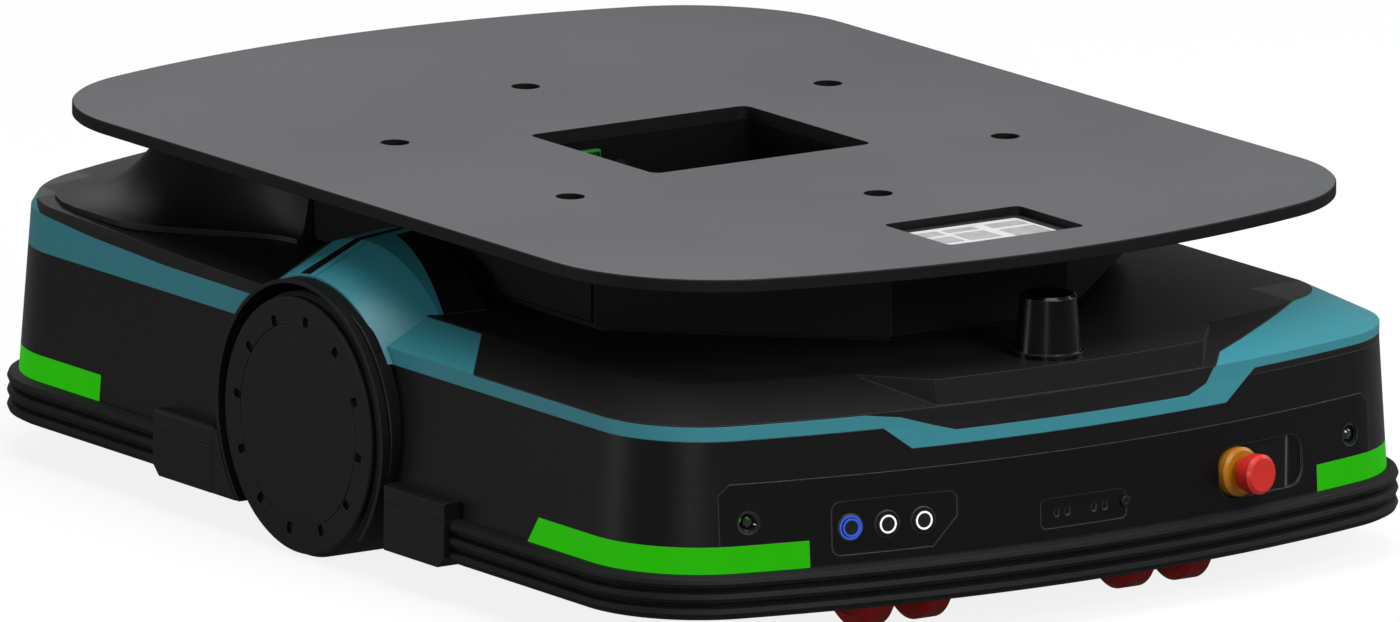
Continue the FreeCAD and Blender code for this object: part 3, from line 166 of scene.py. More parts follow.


# Finishes of the object's parts. Most say what the real one is and what that gives the eye.

finishes = {
    # fine powder coat baked on thick sheet: an even grey with a dry, slightly pebbled face
    "plate_coat": {"colour": "#0A0A0A", "drift": "#0D0D0D", "topColour": "#5F6063", "topDrift": "#656669",
                   "toneSize": 240, "grain": 1.3, "relief": 0.25, "roughness": 0.6, "rub": 0.05,
                   "shine": 0.2, "edge": 0.6, "edgeHighlight": 0.1},
    # the same coat in black: flat and light-eating
    "riser_coat": {"colour": "#080809", "drift": "#0B0B0C", "toneSize": 160, "grain": 1.2, "relief": 0.25,
                   "roughness": 0.6, "rub": 0.05, "shine": 0.16, "edgeHighlight": 0.6, "edgeHighlightColour": "#58585A"},
    "label_frame": {"colour": "#0C0C0D", "drift": "#101011", "toneSize": 60, "grain": 0.8, "relief": 0.15,
                    "roughness": 0.45, "rub": 0.04, "shine": 0.3},
    # injection-moulded ABS from a spark-eroded mould: an even fine grain that spreads every highlight
    "cover_abs": {"colour": "#171718", "drift": "#1B1B1C", "toneSize": 180, "grain": 1.0, "relief": 0.25,
                  "roughness": 0.44, "rub": 0.05, "shine": 0.22},
    # two-coat satin lacquer over ABS: smooth, with one soft highlight
    "teal_paint": {"colour": "#3A8E9B", "drift": "#3E94A2", "toneSize": 220, "grain": 2.2, "relief": 0.05,
                   "roughness": 0.38, "rub": 0.03, "shine": 0.45},
    # the same lacquer, masked off the decks and the towers' inner sides, where the black moulding shows
    "teal_rear": {"colour": "#368A97", "drift": "#3A8F9D", "topColour": "#151516", "topDrift": "#19191A",
                  "topBelow": 212, "toneSize": 220, "grain": 2.2, "relief": 0.05, "roughness": 0.38,
                  "rub": 0.03, "shine": 0.35, "maskReach": 278, "maskSlope": 0.22, "maskLength": 130,
                  "maskAbove": 165},
    "teal_front": {"colour": "#3A8E9B", "drift": "#3E94A2", "topColour": "#151516", "topDrift": "#19191A",
                   "topBelow": 212, "topFrom": 0.965, "topFull": 0.98, "toneSize": 220, "grain": 2.2,
                   "relief": 0.05, "roughness": 0.38, "rub": 0.03, "shine": 0.45, "maskReach": 278,
                   "maskSlope": 0.22, "maskLength": 130, "maskAbove": 165},
    "skirt_abs": {"colour": "#0D0D0E", "drift": "#101011", "toneSize": 180, "grain": 1.0, "relief": 0.18,
                  "roughness": 0.34, "rub": 0.05, "shine": 0.25},
    "panel_abs": {"colour": "#0A0A0B", "drift": "#0D0D0E", "toneSize": 120, "grain": 0.8, "relief": 0.12,
                  "roughness": 0.36, "rub": 0.05, "shine": 0.2, "edge": 1.1, "edgeHighlight": 0.7,
                  "edgeHighlightColour": "#7C7C7E"},
    # extruded EPDM: matt and faintly dusty
    "bumper_rubber": {"colour": "#0D0D0D", "drift": "#121212", "toneSize": 90, "grain": 1.4, "relief": 0.3,
                      "roughness": 0.6, "rub": 0.08, "shine": 0.22},
    "beam_aluminium": {"colour": "#2B2B2D", "drift": "#323234", "toneSize": 90, "grain": 0.9, "relief": 0.1,
                       "roughness": 0.42, "rub": 0.05, "shine": 0.4},
    # moulded nylon: an even satin that goes deep in colour
    "stop_yellow": {"colour": "#B4740A", "drift": "#BC7A0E", "toneSize": 20, "grain": 0.6, "relief": 0.08,
                    "roughness": 0.36, "rub": 0.04, "shine": 0.45},
    "stop_red": {"colour": "#E0322A", "drift": "#D82C26", "toneSize": 20, "grain": 0.6, "relief": 0.08,
                 "roughness": 0.34, "rub": 0.04, "shine": 0.5},
    # lacquered ABS: a deep black with a clear mirror line along it
    "post_gloss": {"colour": "#030303", "drift": "#050505", "toneSize": 40, "grain": 3.0, "relief": 0.02,
                   "roughness": 0.2, "rub": 0.02, "shine": 0.25, "coat": 0.15, "coatRoughness": 0.08},
    "chassis_steel": {"colour": "#1C1C1D", "drift": "#242425", "toneSize": 140, "grain": 1.2,
                      "relief": 0.25, "roughness": 0.55, "rub": 0.06, "shine": 0.35},
    "battery_case": {"colour": "#2C2F36", "drift": "#333740", "toneSize": 80, "grain": 1.0, "relief": 0.3,
                     "roughness": 0.5, "rub": 0.06, "shine": 0.4},
    "sill_abs": {"colour": "#131314", "drift": "#171718", "toneSize": 90, "grain": 1.0, "relief": 0.2,
                 "roughness": 0.4, "rub": 0.06, "shine": 0.22},
    "housing_abs": {"colour": "#121213", "drift": "#161617", "toneSize": 90, "grain": 1.0, "relief": 0.2,
                    "roughness": 0.42, "rub": 0.06, "shine": 0.22},
    # solid polyurethane tread cast on the hub: dense black with a dull bloom
    "tyre_rubber": {"colour": "#1E1E1E", "drift": "#292929", "toneSize": 40, "grain": 1.4, "relief": 0.3,
                    "roughness": 0.66, "rub": 0.08, "shine": 0.3},
    "disc_abs": {"colour": "#121213", "drift": "#161616", "toneSize": 70, "grain": 0.9, "relief": 0.18,
                 "roughness": 0.42, "rub": 0.05, "shine": 0.22},
    # cast red polyurethane: waxy, with a soft wide highlight
    "castor_red": {"colour": "#C4140D", "drift": "#AE100B", "toneSize": 14, "grain": 1.0, "relief": 0.15,
                   "roughness": 0.4, "rub": 0.05, "shine": 0.5},
    # zinc plate on pressed steel: cool, bright and clouded
    "zinc_steel": {"colour": "#A9ADB0", "drift": "#8F9498", "toneSize": 9, "grain": 1.1, "relief": 0.12,
                   "roughness": 0.36, "rub": 0.08, "metallic": 1.0},
    # bead-blasted aluminium castings: pale, soft and even
    "motor_aluminium": {"colour": "#8C8E90", "drift": "#999B9D", "toneSize": 30, "grain": 0.9,
                        "relief": 0.3, "roughness": 0.45, "rub": 0.06, "metallic": 1.0},
    "hub_aluminium": {"colour": "#9C9EA0", "drift": "#A9ABAD", "toneSize": 30, "grain": 0.8, "relief": 0.15,
                      "roughness": 0.35, "rub": 0.06, "metallic": 1.0},
    "controller_case": {"colour": "#7F8286", "drift": "#8A8D91", "toneSize": 60, "grain": 1.0,
                        "relief": 0.2, "roughness": 0.42, "rub": 0.06, "metallic": 1.0},
    "button_steel": {"colour": "#3A3B3D", "drift": "#464749", "toneSize": 8, "grain": 0.5, "relief": 0.1,
                     "roughness": 0.3, "rub": 0.05, "metallic": 1.0},
    # acrylic light strip lit from behind: one even green that drops a little between its lamps, its edges
    # lightened as a painted highlight
    "light_green": {"colour": "#0B3A06", "drift": "#0E4208", "toneSize": 18, "grain": 2.0, "relief": 0.03,
                    "roughness": 0.4, "rub": 0.03, "shine": 0.05, "edge": 0.5, "edgeHighlight": 0.5,
                    "edgeHighlightColour": "#5FD03A", "glow": "#25AE04", "glowStrength": 0.94},
    # coated glass sensor window: near black and green-tinted, with a sharp reflex from its coat and a green
    # painted highlight along its edges
    "lens_glass": {"colour": "#07120C", "drift": "#0A1810", "toneSize": 12, "grain": 4.0, "relief": 0.0,
                   "roughness": 0.08, "rub": 0.01, "shine": 0.5, "coat": 1.0, "coatRoughness": 0.03,
                   "edge": 0.3, "edgeHighlightColour": "#1E3A28"},
    # dead black: the moulded rubber of the cable gland, and painted shade where it reads as a hole, in the
    # disc slots, the well liner and the fender groove strips
    "rubber_and_hole_shade": {"colour": "#050505", "drift": "#080808", "toneSize": 6, "grain": 0.6, "relief": 0.2,
                    "roughness": 0.7, "rub": 0.05, "shine": 0.1, "edgeHighlight": 0.1},
    # frosted acrylic ring lit white, and the same ring lit blue
    "ring_white": {"colour": "#C9C9C7", "drift": "#D6D6D4", "toneSize": 5, "grain": 0.8, "relief": 0.02,
                   "roughness": 0.4, "rub": 0.03, "edge": 0.2, "glow": "#EDEDEB", "glowStrength": 0.8},
    "ring_blue": {"colour": "#122F8A", "drift": "#17379A", "toneSize": 5, "grain": 0.8, "relief": 0.02,
                  "roughness": 0.4, "rub": 0.03, "edge": 0.2, "edgeHighlightColour": "#5C7FE0", "glow": "#2E55C8",
                  "glowStrength": 0.8},
    # smoked polycarbonate button face: glossy and nearly black
    "button_face": {"colour": "#121214", "drift": "#18181A", "toneSize": 6, "grain": 1.5, "relief": 0.02,
                    "roughness": 0.2, "rub": 0.03, "edge": 0.3},
    # coated paper label: clean white with a faint sheen, its fields printed in greys
    "label_paper": {"colour": "#E4E4E4", "drift": "#F0F0F0", "toneSize": 22, "grain": 0.6, "relief": 0.03,
                    "roughness": 0.4, "rub": 0.04, "edgeHighlight": 0.0},
    "label_grey": {"colour": "#A9AAAB", "drift": "#C2C3C4", "toneSize": 7, "grain": 0.6, "relief": 0.03,
                   "roughness": 0.45, "rub": 0.04, "edgeHighlight": 0.0},
    # moulded polyamide connector: a flat leaf green
    "connector_green": {"colour": "#12661C", "drift": "#177222", "toneSize": 8, "grain": 0.7, "relief": 0.1,
                        "roughness": 0.42, "rub": 0.05, "edgeHighlightColour": "#3C9A4C"},
    # blackened steel fasteners: dark, with a dry metal glint, their edges lightened as a painted highlight
    "screw_steel": {"colour": "#2A2B2D", "drift": "#3A3B3D", "toneSize": 4, "grain": 0.5, "relief": 0.12,
                    "roughness": 0.38, "rub": 0.08, "metallic": 1.0, "edge": 0.3, "edgeHighlightColour": "#8C8E90"},
}
materials = {name: grainedFinish(name, look) for name, look in finishes.items()}


# These nodes have a variant of their slot's finish; the well liner is made dead black as painted shade in the
# well
variants = {"rear_trim": "teal_rear", "front_trim": "teal_front", "well_liner": "rubber_and_hole_shade"}
for row in frame["record"]["subparts"]:
    for place in frame["nodes"][row["node"]].material_slots:
        place.material = materials[variants.get(row["node"], row["material_slot"])]
print("finishes given:", len(materials))


# Shapes for the pieces: stacks of closed loops, in millimetres

def circleLoop(radius, height, steps=32, sides=0):  # with sides, a polygon of as many points
    points = []
    for step in range(steps):
        turn = 2 * math.pi * step / steps
        reach = radius
        if sides:
            part = math.pi / sides
            reach = radius * math.cos(part) / math.cos((turn + part) % (2 * part) - part)
        points.append((reach * math.cos(turn), reach * math.sin(turn), height))
    return points


def roundedLoop(width, length, corner, height, steps=6, middle=(0, 0)):
    points = []
    corner = max(0.01, min(corner, width / 2, length / 2))
    for quarter in range(4):
        signX, signY = ((1, 1), (-1, 1), (-1, -1), (1, -1))[quarter]
        centreX, centreY = signX * (width / 2 - corner), signY * (length / 2 - corner)
        for step in range(steps + 1):
            turn = math.pi / 2 * (quarter + step / steps)
            points.append((middle[0] + centreX + corner * math.cos(turn),
                           middle[1] + centreY + corner * math.sin(turn), height))
    return points


def stacked(shape, loops, closed=False):  # walls from loop to loop, capped unless it is a ring
    rings = [[shape.verts.new(point) for point in loop] for loop in loops]
    pairs = list(zip(rings, rings[1:])) + ([(rings[-1], rings[0])] if closed else [])
    for lower, upper in pairs:
        for i in range(len(lower)):
            k = (i + 1) % len(lower)
            shape.faces.new((lower[i], lower[k], upper[k], upper[i]))
    if not closed:
        shape.faces.new(rings[0][::-1])
        shape.faces.new(rings[-1])
    return shape


def meshOf(name, stacks, place=None, finish=None, smoothAngle=35):  # a mesh in metres from stacks of loops
    shape = bmesh.new()
    for loops, closed in stacks:
        stacked(shape, loops, closed)
    bmesh.ops.recalc_face_normals(shape, faces=shape.faces)
    mesh = bpy.data.meshes.new(name)
    shape.to_mesh(mesh)
    shape.free()
    mesh.transform(Matrix.Scale(mm, 4))
    if place:
        mesh.transform(place)
    mesh.shade_smooth()
    mesh.set_sharp_from_angle(angle=math.radians(smoothAngle))
    if finish:
        mesh.materials.append(materials[finish])
    return mesh


def addPiece(name, mesh, body):
    piece = bpy.data.objects.new(name, mesh)
    bpy.context.scene.collection.objects.link(piece)
    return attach(piece, body)


def spot(x, y, z, outward, up=(0, 0, 1)):  # a place in millimetres whose Z axis points outward
    zAxis = Vector(outward).normalized()
    xAxis = Vector(up).cross(zAxis)
    xAxis = xAxis.normalized() if xAxis.length > 0.01 else Vector((1, 0, 0))
    yAxis = zAxis.cross(xAxis)
    turn = Matrix((xAxis, yAxis, zAxis)).transposed().to_4x4()
    return Matrix.Translation(Vector((x, y, z)) * mm) @ turn


frontFace = {"bow": 1100.0, "halfLength": 484.0, "slope": 0.07, "skirtTop": 162.0}


def faceSpot(x, height, out=0.0):  # a place on the bowed, leaning front face; its Z axis points straight out
    bow, slope = frontFace["bow"], frontFace["slope"]
    grown = slope * (frontFace["skirtTop"] - height)
    swing = Matrix.Translation(Vector((0, bow - frontFace["halfLength"], height)) * mm)
    swing = swing @ Matrix.Rotation(math.asin(x / bow), 4, "Z")
    lean = Matrix.Translation(Vector((0, -bow - grown, 0)) * mm) @ Matrix.Rotation(-math.atan(slope), 4, "X")
    return swing @ lean @ Matrix.Rotation(math.pi / 2, 4, "X") @ Matrix.Translation((0, 0, out * mm))


def repeatTree():  # sets a piece on every spot, turned about its own axis within a spread
    tree = bpy.data.node_groups.new("repeatedPieces", "GeometryNodeTree")
    inputs = {"Spots": "Geometry", "Piece": "Object", "Turn Spread": "Float", "Seed": "Int",
              "Finish": "Material"}
    for name, kind in inputs.items():
        tree.interface.new_socket(name=name, in_out="INPUT", socket_type="NodeSocket" + kind)
    tree.interface.new_socket(name="Pieces", in_out="OUTPUT", socket_type="NodeSocketGeometry")
    given = addNode(tree, "NodeGroupInput").outputs
    facing = addNode(tree, "GeometryNodeInputNamedAttribute", {"data_type": "FLOAT_VECTOR", "Name": "facing"})
    unit = addNode(tree, "GeometryNodeObjectInfo", {}, {"Object": given["Piece"]})
    placed = addNode(tree, "GeometryNodeInstanceOnPoints", {},
                     {"Points": given["Spots"], "Instance": unit.outputs["Geometry"],
                      "Rotation": facing.outputs[0]}).outputs[0]
    low = mathNode(tree, "MULTIPLY", given["Turn Spread"], -1.0)
    chance = addNode(tree, "FunctionNodeRandomValue", {"data_type": "FLOAT"},
                     {2: low, 3: given["Turn Spread"], "Seed": given["Seed"]}).outputs[1]
    twist = addNode(tree, "ShaderNodeCombineXYZ", {}, {"Z": chance}).outputs[0]
    turned = addNode(tree, "GeometryNodeRotateInstances", {},
                     {"Instances": placed, "Rotation": twist}).outputs[0]
    real = addNode(tree, "GeometryNodeRealizeInstances", {}, {"Geometry": turned}).outputs[0]
    painted = addNode(tree, "GeometryNodeSetMaterial", {}, {"Geometry": real, "Material": given["Finish"]})
    addNode(tree, "NodeGroupOutput", links={"Pieces": painted.outputs[0]})
    return tree


repeatedPieces = repeatTree()


def appliedMesh(item):  # the mesh that an object's modifiers make
    bpy.context.view_layer.update()
    graph = bpy.context.evaluated_depsgraph_get()
    return bpy.data.meshes.new_from_object(item.evaluated_get(graph))


def repeatedMesh(name, unit, spots, finish, spread=0.0, seed=7):
    holder = bpy.data.objects.new(name, bpy.data.meshes.new(name + "Spots"))
    model = bpy.data.objects.new(name + "Unit", unit)
    for item in (holder, model):
        bpy.context.scene.collection.objects.link(item)
    holder.data.from_pydata([place.translation for place in spots], [], [])
    layer = holder.data.attributes.new("facing", "FLOAT_VECTOR", "POINT")
    for row, place in zip(layer.data, spots):
        row.vector = Vector(place.to_euler())
    modifier = holder.modifiers.new("repeat", "NODES")
    modifier.node_group = repeatedPieces
    given = {"Piece": model, "Turn Spread": spread, "Seed": seed, "Finish": materials[finish]}
    for item in repeatedPieces.interface.items_tree:
        if item.in_out == "INPUT" and item.name in given:
            modifier[item.identifier] = given[item.name]
    mesh = appliedMesh(holder)
    mesh.name = name
    holder.modifiers.clear()
    for item in (holder, model):
        bpy.data.objects.remove(item)
    return mesh


def addRepeated(name, unit, spots, body, finish, spread=0.0, seed=7):
    return addPiece(name, repeatedMesh(name, unit, spots, finish, spread, seed), body)


def capScrew(name, radius, height, socket):  # a round head with a hexagon socket and a broken edge
    edge = radius * 0.12
    loops = [circleLoop(radius, 0, 24), circleLoop(radius, height - edge, 24),
             circleLoop(radius - edge, height, 24), circleLoop(socket, height, 24, 6),
             circleLoop(socket, height * 0.45, 24, 6)]
    return meshOf(name, [(loops, False)])


def hexBolt(name, radius, height):  # a hexagon head on its washer
    washer = [circleLoop(radius * 1.35, 0, 24), circleLoop(radius * 1.35, 0.9, 24)]
    head = [circleLoop(radius, 0.9, 24, 6), circleLoop(radius, height * 0.85, 24, 6),
            circleLoop(radius * 0.86, height, 24, 0)]
    return meshOf(name, [(washer, False), (head, False)])


# Wheel discs: turned face with a fine ring line and a circle of slots whose insides are painted dead black as
# painted shade, in place of the plain discs

discLook = {"face": 365, "axleHeight": 100, "radius": 97, "thickness": 5, "edge": 1.2, "steps": 128,
            "lineRadius": 76, "lineWidth": 1.2, "lineDepth": 1.0,
            "slots": 12, "slotCentre": 80.5, "slotLength": 8.5, "slotWidth": 7, "slotCorner": 2.2,
            "slotDepth": 2.2, "firstSlot": 7, "cutAbove": 3}


def discFace(side, name):  # the turned disc, its back towards the hub
    look = discLook
    radius, face, edge = look["radius"], look["thickness"], look["edge"]
    lineLow = look["lineRadius"] - look["lineWidth"] / 2
    lineHigh = look["lineRadius"] + look["lineWidth"] / 2
    lineFloor = face - look["lineDepth"]
    profile = [(radius, 0.0), (radius, face - edge), (radius - edge, face), (lineHigh, face),
               (lineHigh, lineFloor), (lineLow, lineFloor), (lineLow, face), (lineLow * 0.5, face)]
    loops = [circleLoop(reach, height, look["steps"]) for reach, height in profile]
    place = spot(side * (look["face"] - look["thickness"]), 0, look["axleHeight"], (side, 0, 0))
    return bpy.data.objects.new(name, meshOf(name, [(loops, False)], place, "disc_abs"))


def slotCutter(side):  # the shape that cuts the circle of slots
    look = discLook
    loops = [roundedLoop(look["slotWidth"], look["slotLength"], look["slotCorner"], height, 4)
             for height in (-look["slotDepth"], look["cutAbove"])]
    spots = []
    for step in range(look["slots"]):
        turn = math.radians(look["firstSlot"] + step * 360 / look["slots"])
        radial = (0, math.cos(turn), math.sin(turn))
        y = look["slotCentre"] * radial[1]
        z = look["axleHeight"] + look["slotCentre"] * radial[2]
        spots.append(spot(side * look["face"], y, z, (side, 0, 0), radial))
    mesh = repeatedMesh("slotCutter", meshOf("slotShape", [(loops, False)]), spots, "rubber_and_hole_shade")
    return bpy.data.objects.new("slotCutter", mesh)


def buildDisc(side, name, body, node):
    disc, cutter = discFace(side, name), slotCutter(side)
    for item in (disc, cutter):
        bpy.context.scene.collection.objects.link(item)
    carve = disc.modifiers.new("carve", "BOOLEAN")
    carve.operation = "DIFFERENCE"
    carve.solver = "EXACT"
    # cut faces take the cutter's dead black finish: painted shade inside the slots
    carve.material_mode = "TRANSFER"
    carve.object = cutter
    carved = appliedMesh(disc)
    disc.modifiers.clear()
    disc.data = carved
    carved.set_sharp_from_angle(angle=math.radians(30))
    bpy.data.objects.remove(cutter)
    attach(disc, body)
    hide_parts(node)


buildDisc(-1, "leftDiscFace", "left_wheel", "left_wheel_disc")
buildDisc(1, "rightDiscFace", "right_wheel", "right_wheel_disc")
print("wheel discs built")


# Push buttons: a lit ring round a smoked face on each cap, and a second ring on the blue one's bezel

buttonLook = {"height": 91, "places": {"left_push": -194, "middle_push": -164.5, "right_push": -135},
              "capTop": 1.1, "ringOuter": 6.9, "ringInner": 5.5, "ringRise": 0.5, "faceRise": 0.35,
              "bezelTop": 0.1, "bezelInner": 7.6, "bezelOuter": 9.2}


def ringStack(outer, inner, low, high, edge=0.15, steps=40):
    profile = [(outer, low), (outer, high - edge), (outer - edge, high),
               (inner + edge, high), (inner, high - edge), (inner, low)]
    return [circleLoop(radius, height, steps) for radius, height in profile], True


def buildButtons():
    look = buttonLook
    top = look["capTop"]
    for body, x in look["places"].items():
        lit = "ring_blue" if body == "left_push" else "ring_white"
        place = faceSpot(x, look["height"])
        ring = ringStack(look["ringOuter"], look["ringInner"], top, top + look["ringRise"])
        addPiece(body + "Ring", meshOf(body + "Ring", [ring], place, lit), body)
        inside, crown = look["ringInner"] - 0.1, top + look["faceRise"]
        profile = [(inside, top), (inside, top + 0.15), (inside * 0.6, crown), (inside * 0.1, crown + 0.05)]
        face = [circleLoop(radius, height, 40) for radius, height in profile]
        addPiece(body + "Face", meshOf(body + "Face", [(face, False)], place, "button_face"), body)
    outer = ringStack(look["bezelOuter"], look["bezelInner"], look["bezelTop"], look["bezelTop"] + 0.3)
    place = faceSpot(look["places"]["left_push"], look["height"])
    addPiece("blueBezelRing", meshOf("blueBezelRing", [outer], place, "ring_blue"), "base")


buildButtons()
print("buttons lit")


# Window in the plate: a stepped black frame round a blank white label with grey fields

labelLook = {"centre": (0, -365), "floor": 262, "frame": (119.6, 81.6), "opening": (108, 70),
             "frameTop": 270.2, "paperTop": 269.2, "printRise": 0.08,
             "fields": [  # x, y, width, length from the label's middle
                 (-38, 20, 26, 14), (-38, -2, 26, 18), (-38, -23, 26, 12), (-6, 22, 28, 10), (-6, 0, 28, 24),
                 (-6, -24, 28, 10), (34, 20, 32, 14), (34, -8, 32, 30)]}


def buildLabel():
    look = labelLook
    place = Matrix.Translation(Vector((look["centre"][0], look["centre"][1], 0)) * mm)
    low, high = look["floor"], look["frameTop"]
    width, length = look["frame"]
    openWidth, openLength = look["opening"]
    frameLoops = [roundedLoop(width, length, 5, low), roundedLoop(width, length, 5, high - 0.3),
                  roundedLoop(width - 0.6, length - 0.6, 4.7, high),
                  roundedLoop(openWidth + 4, openLength + 4, 4, high),
                  roundedLoop(openWidth + 3.4, openLength + 3.4, 3.7, high - 0.5),
                  roundedLoop(openWidth, openLength, 3, high - 0.5),
                  roundedLoop(openWidth, openLength, 3, low)]
    addPiece("labelFrame", meshOf("labelFrame", [(frameLoops, True)], place, "label_frame"), "base")
    paperTop = look["paperTop"]
    paper = [roundedLoop(openWidth - 0.2, openLength - 0.2, 3, height) for height in (low, paperTop)]
    addPiece("labelPaper", meshOf("labelPaper", [(paper, False)], place, "label_paper"), "base")
    fields = []
    for x, y, fieldWidth, fieldLength in look["fields"]:
        fields.append(([roundedLoop(fieldWidth, fieldLength, 1.5, height, 3, (x, y))
                        for height in (paperTop, paperTop + look["printRise"])], False))
    addPiece("labelFields", meshOf("labelFields", fields, place, "label_grey"), "base")


buildLabel()
print("label window built")


# Central well: a green connector on the rear wall, a cable gland beside it and a hat-shaped bracket below

wellLook = {"wallY": 83, "floor": 209, "connector": (-47, 254, 22, 9, 5), "gland": (-18, 240, 9),
            "bracket": (60, 40, 46, 20, 14)}


def buildWell():
    look = wellLook
    x, z, width, height, depth = look["connector"]
    place = spot(x, look["wallY"], z, (0, -1, 0))
    block = [roundedLoop(width, height, 1, 0), roundedLoop(width, height, 1, depth - 0.5),
             roundedLoop(width - 1, height - 1, 0.8, depth), roundedLoop(width - 3, height - 4, 0.5, depth),
             roundedLoop(width - 3, height - 4, 0.5, depth - 2.5)]
    addPiece("wellConnector", meshOf("wellConnector", [(block, False)], place, "connector_green"), "base")
    x, z, radius = look["gland"]
    place = spot(x, look["wallY"], z, (0, -1, 0))
    gland = [circleLoop(radius, 0, 30, 6), circleLoop(radius, 3, 30, 6)]
    gland += [circleLoop(radius * share, height, 30)
              for share, height in ((0.8, 3.2), (0.78, 7), (0.6, 8), (0.45, 8), (0.45, 5))]
    addPiece("wellGland", meshOf("wellGland", [(gland, False)], place, "rubber_and_hole_shade"), "base")
    x, y, width, length, height = look["bracket"]
    place = Matrix.Translation(Vector((x, y, look["floor"])) * mm)
    profile = [(width + 20, length, 0), (width + 20, length, 2), (width, length - 2, 2.2),
               (width - 3, length - 2, height), (width - 6, length - 5, height), (width - 7, length - 6, 3)]
    hat = [roundedLoop(wide, long, 2, level) for wide, long, level in profile]
    addPiece("wellBracket", meshOf("wellBracket", [(hat, False)], place, "riser_coat"), "base")


buildWell()
print("well fitted")


# Riser: folded sheets on its front half and a fairing round its rear half

riserLook = {"inner": 243.3, "edge": 0.8, "high": 265.6, "rear": 345.4,
             "doubler": {"outer": 245.4, "innerLow": 202, "outerLow": 203, "start": -208, "end": -83},
             "fairing": {"start": 160, "full": 290, "narrow": 14, "wide": 90, "foot": 200.5, "under": 196,
                         "fall": 2.7, "steps": 10, "stations": 14, "cornerSteps": 6}}


def buildDoublers():  # folded sheets on both sides of the riser's front half, pushed along Y
    look, inner, edge = riserLook["doubler"], riserLook["inner"], riserLook["edge"]
    for side, name in ((-1, "leftRiserDoubler"), (1, "rightRiserDoubler")):
        section = [(inner, look["innerLow"]), (look["outer"] - edge, look["outerLow"] - edge),
                   (look["outer"], look["outerLow"] + edge), (look["outer"], riserLook["high"]),
                   (inner, riserLook["high"])]
        loops = [[(side * x, y, z) for x, z in section] for y in (look["start"], look["end"])]
        addPiece(name, meshOf(name, [(loops, False)], None, "riser_coat", 10), "base")


def fairingPath():  # points along the foot of the riser's walls, with the way out from the wall in degrees
    look, reach, rear = riserLook["fairing"], riserLook["inner"], riserLook["rear"]
    half = []  # from the left front end to the middle of the rear
    for step in range(look["stations"] + 1):
        y = look["start"] + (rear - look["start"]) * step / look["stations"]
        half.append((-reach, y, 180.0))
    for step in range(1, look["cornerSteps"]):
        half.append((-reach, rear, 180.0 - 90.0 * step / look["cornerSteps"]))
    for step in range(look["stations"] + 1):
        half.append((-reach * (1 - step / look["stations"]), rear, 90.0))
    return half + [(-x, y, 180.0 - turn) for x, y, turn in half[-2::-1]]


def buildFairing():  # a moulded fairing that sweeps from the rear deck up to the plate, round the riser
    look, high = riserLook["fairing"], riserLook["high"]
    loops = []
    for x, y, turn in fairingPath():
        grown = min(1.0, (y - look["start"]) / (look["full"] - look["start"]))
        wide = look["narrow"] + (look["wide"] - look["narrow"]) * grown * grown * (3 - 2 * grown)
        section = [(0, look["under"]), (0, high)]
        for step in range(1, look["steps"] + 1):
            share = step / look["steps"]
            rise = (high - look["foot"]) * (1 - share) ** look["fall"]
            section.append((wide * share, look["foot"] + rise))
        section.append((wide, look["under"]))
        out = (math.cos(math.radians(turn)), math.sin(math.radians(turn)))
        loops.append([(x + out[0] * far, y + out[1] * far, height) for far, height in section])
    addPiece("riserFairing", meshOf("riserFairing", [(loops, False)], None, "cover_abs", 40), "base")


buildDoublers()
buildFairing()


# Beside the wheels: black strips of painted shade in the fender caps' groove, collar lips and sill cheeks,
# bent round the drive axle

fenderLook = {"axleHeight": 100, "shadeStripRise": 0.45, "shadeStripDepth": 1.5,
              # stations of a tower: x, radius, the shade strip's start and end along Y
              "tower": [(263, 137, 9.5, 14), (302, 133, 9, 16.5), (349.4, 112.4, 7.5, 19.5)],
              "lip": {"inner": 110.35, "outer": 112.6, "from": 346.5, "to": 357.5, "low": -9, "high": 58,
                      "steps": 26},
              "cheek": {"radius": 110.4, "start": 114.3, "low": 27.0, "high": 76.0, "inner": 352.0,
                        "face": 364.7, "steps": 10}}


def buildGrooveShades():  # a black strip in the joint between the two fender caps, painted shade standing for the groove there
    look, rise, axle = fenderLook, fenderLook["shadeStripRise"], fenderLook["axleHeight"]
    for side, name in ((-1, "leftFenderSeal"), (1, "rightFenderSeal")):
        loops = []
        for x, radius, start, end in look["tower"]:
            turnLow, turnHigh = math.asin(start / radius), math.asin(end / radius)
            low, high = radius - look["shadeStripDepth"], radius + rise
            ring = [(turnLow, low), (turnHigh, low), (turnHigh, high), (turnLow, high)]
            loops.append([(side * x, reach * math.sin(turn), axle + reach * math.cos(turn))
                          for turn, reach in ring])
        addPiece(name, meshOf(name, [(loops, False)], None, "rubber_and_hole_shade"), "base")


def buildLips():  # the housing's outer lips beside the wheel, front and rear
    look = fenderLook["lip"]
    for side, word in ((-1, "left"), (1, "right")):
        for end, direction in (("Front", -1), ("Rear", 1)):
            loops = []
            for step in range(look["steps"] + 1):
                turn = math.radians(look["low"] + (look["high"] - look["low"]) * step / look["steps"])
                fade = min(1.0, 6 * step / look["steps"], 6 * (1 - step / look["steps"]) + 0.15)
                outer = look["inner"] + (look["outer"] - look["inner"]) * max(fade, 0.15)
                section = [(look["from"], look["inner"]), (look["to"], look["inner"]),
                           (look["to"], outer - 0.5), (look["to"] - 0.7, outer), (look["from"], outer)]
                loops.append([(side * x, direction * radius * math.cos(turn),
                               fenderLook["axleHeight"] + radius * math.sin(turn)) for x, radius in section])
            name = word + end + "CollarLip"
            addPiece(name, meshOf(name, [(loops, False)], None, "housing_abs"), "base")


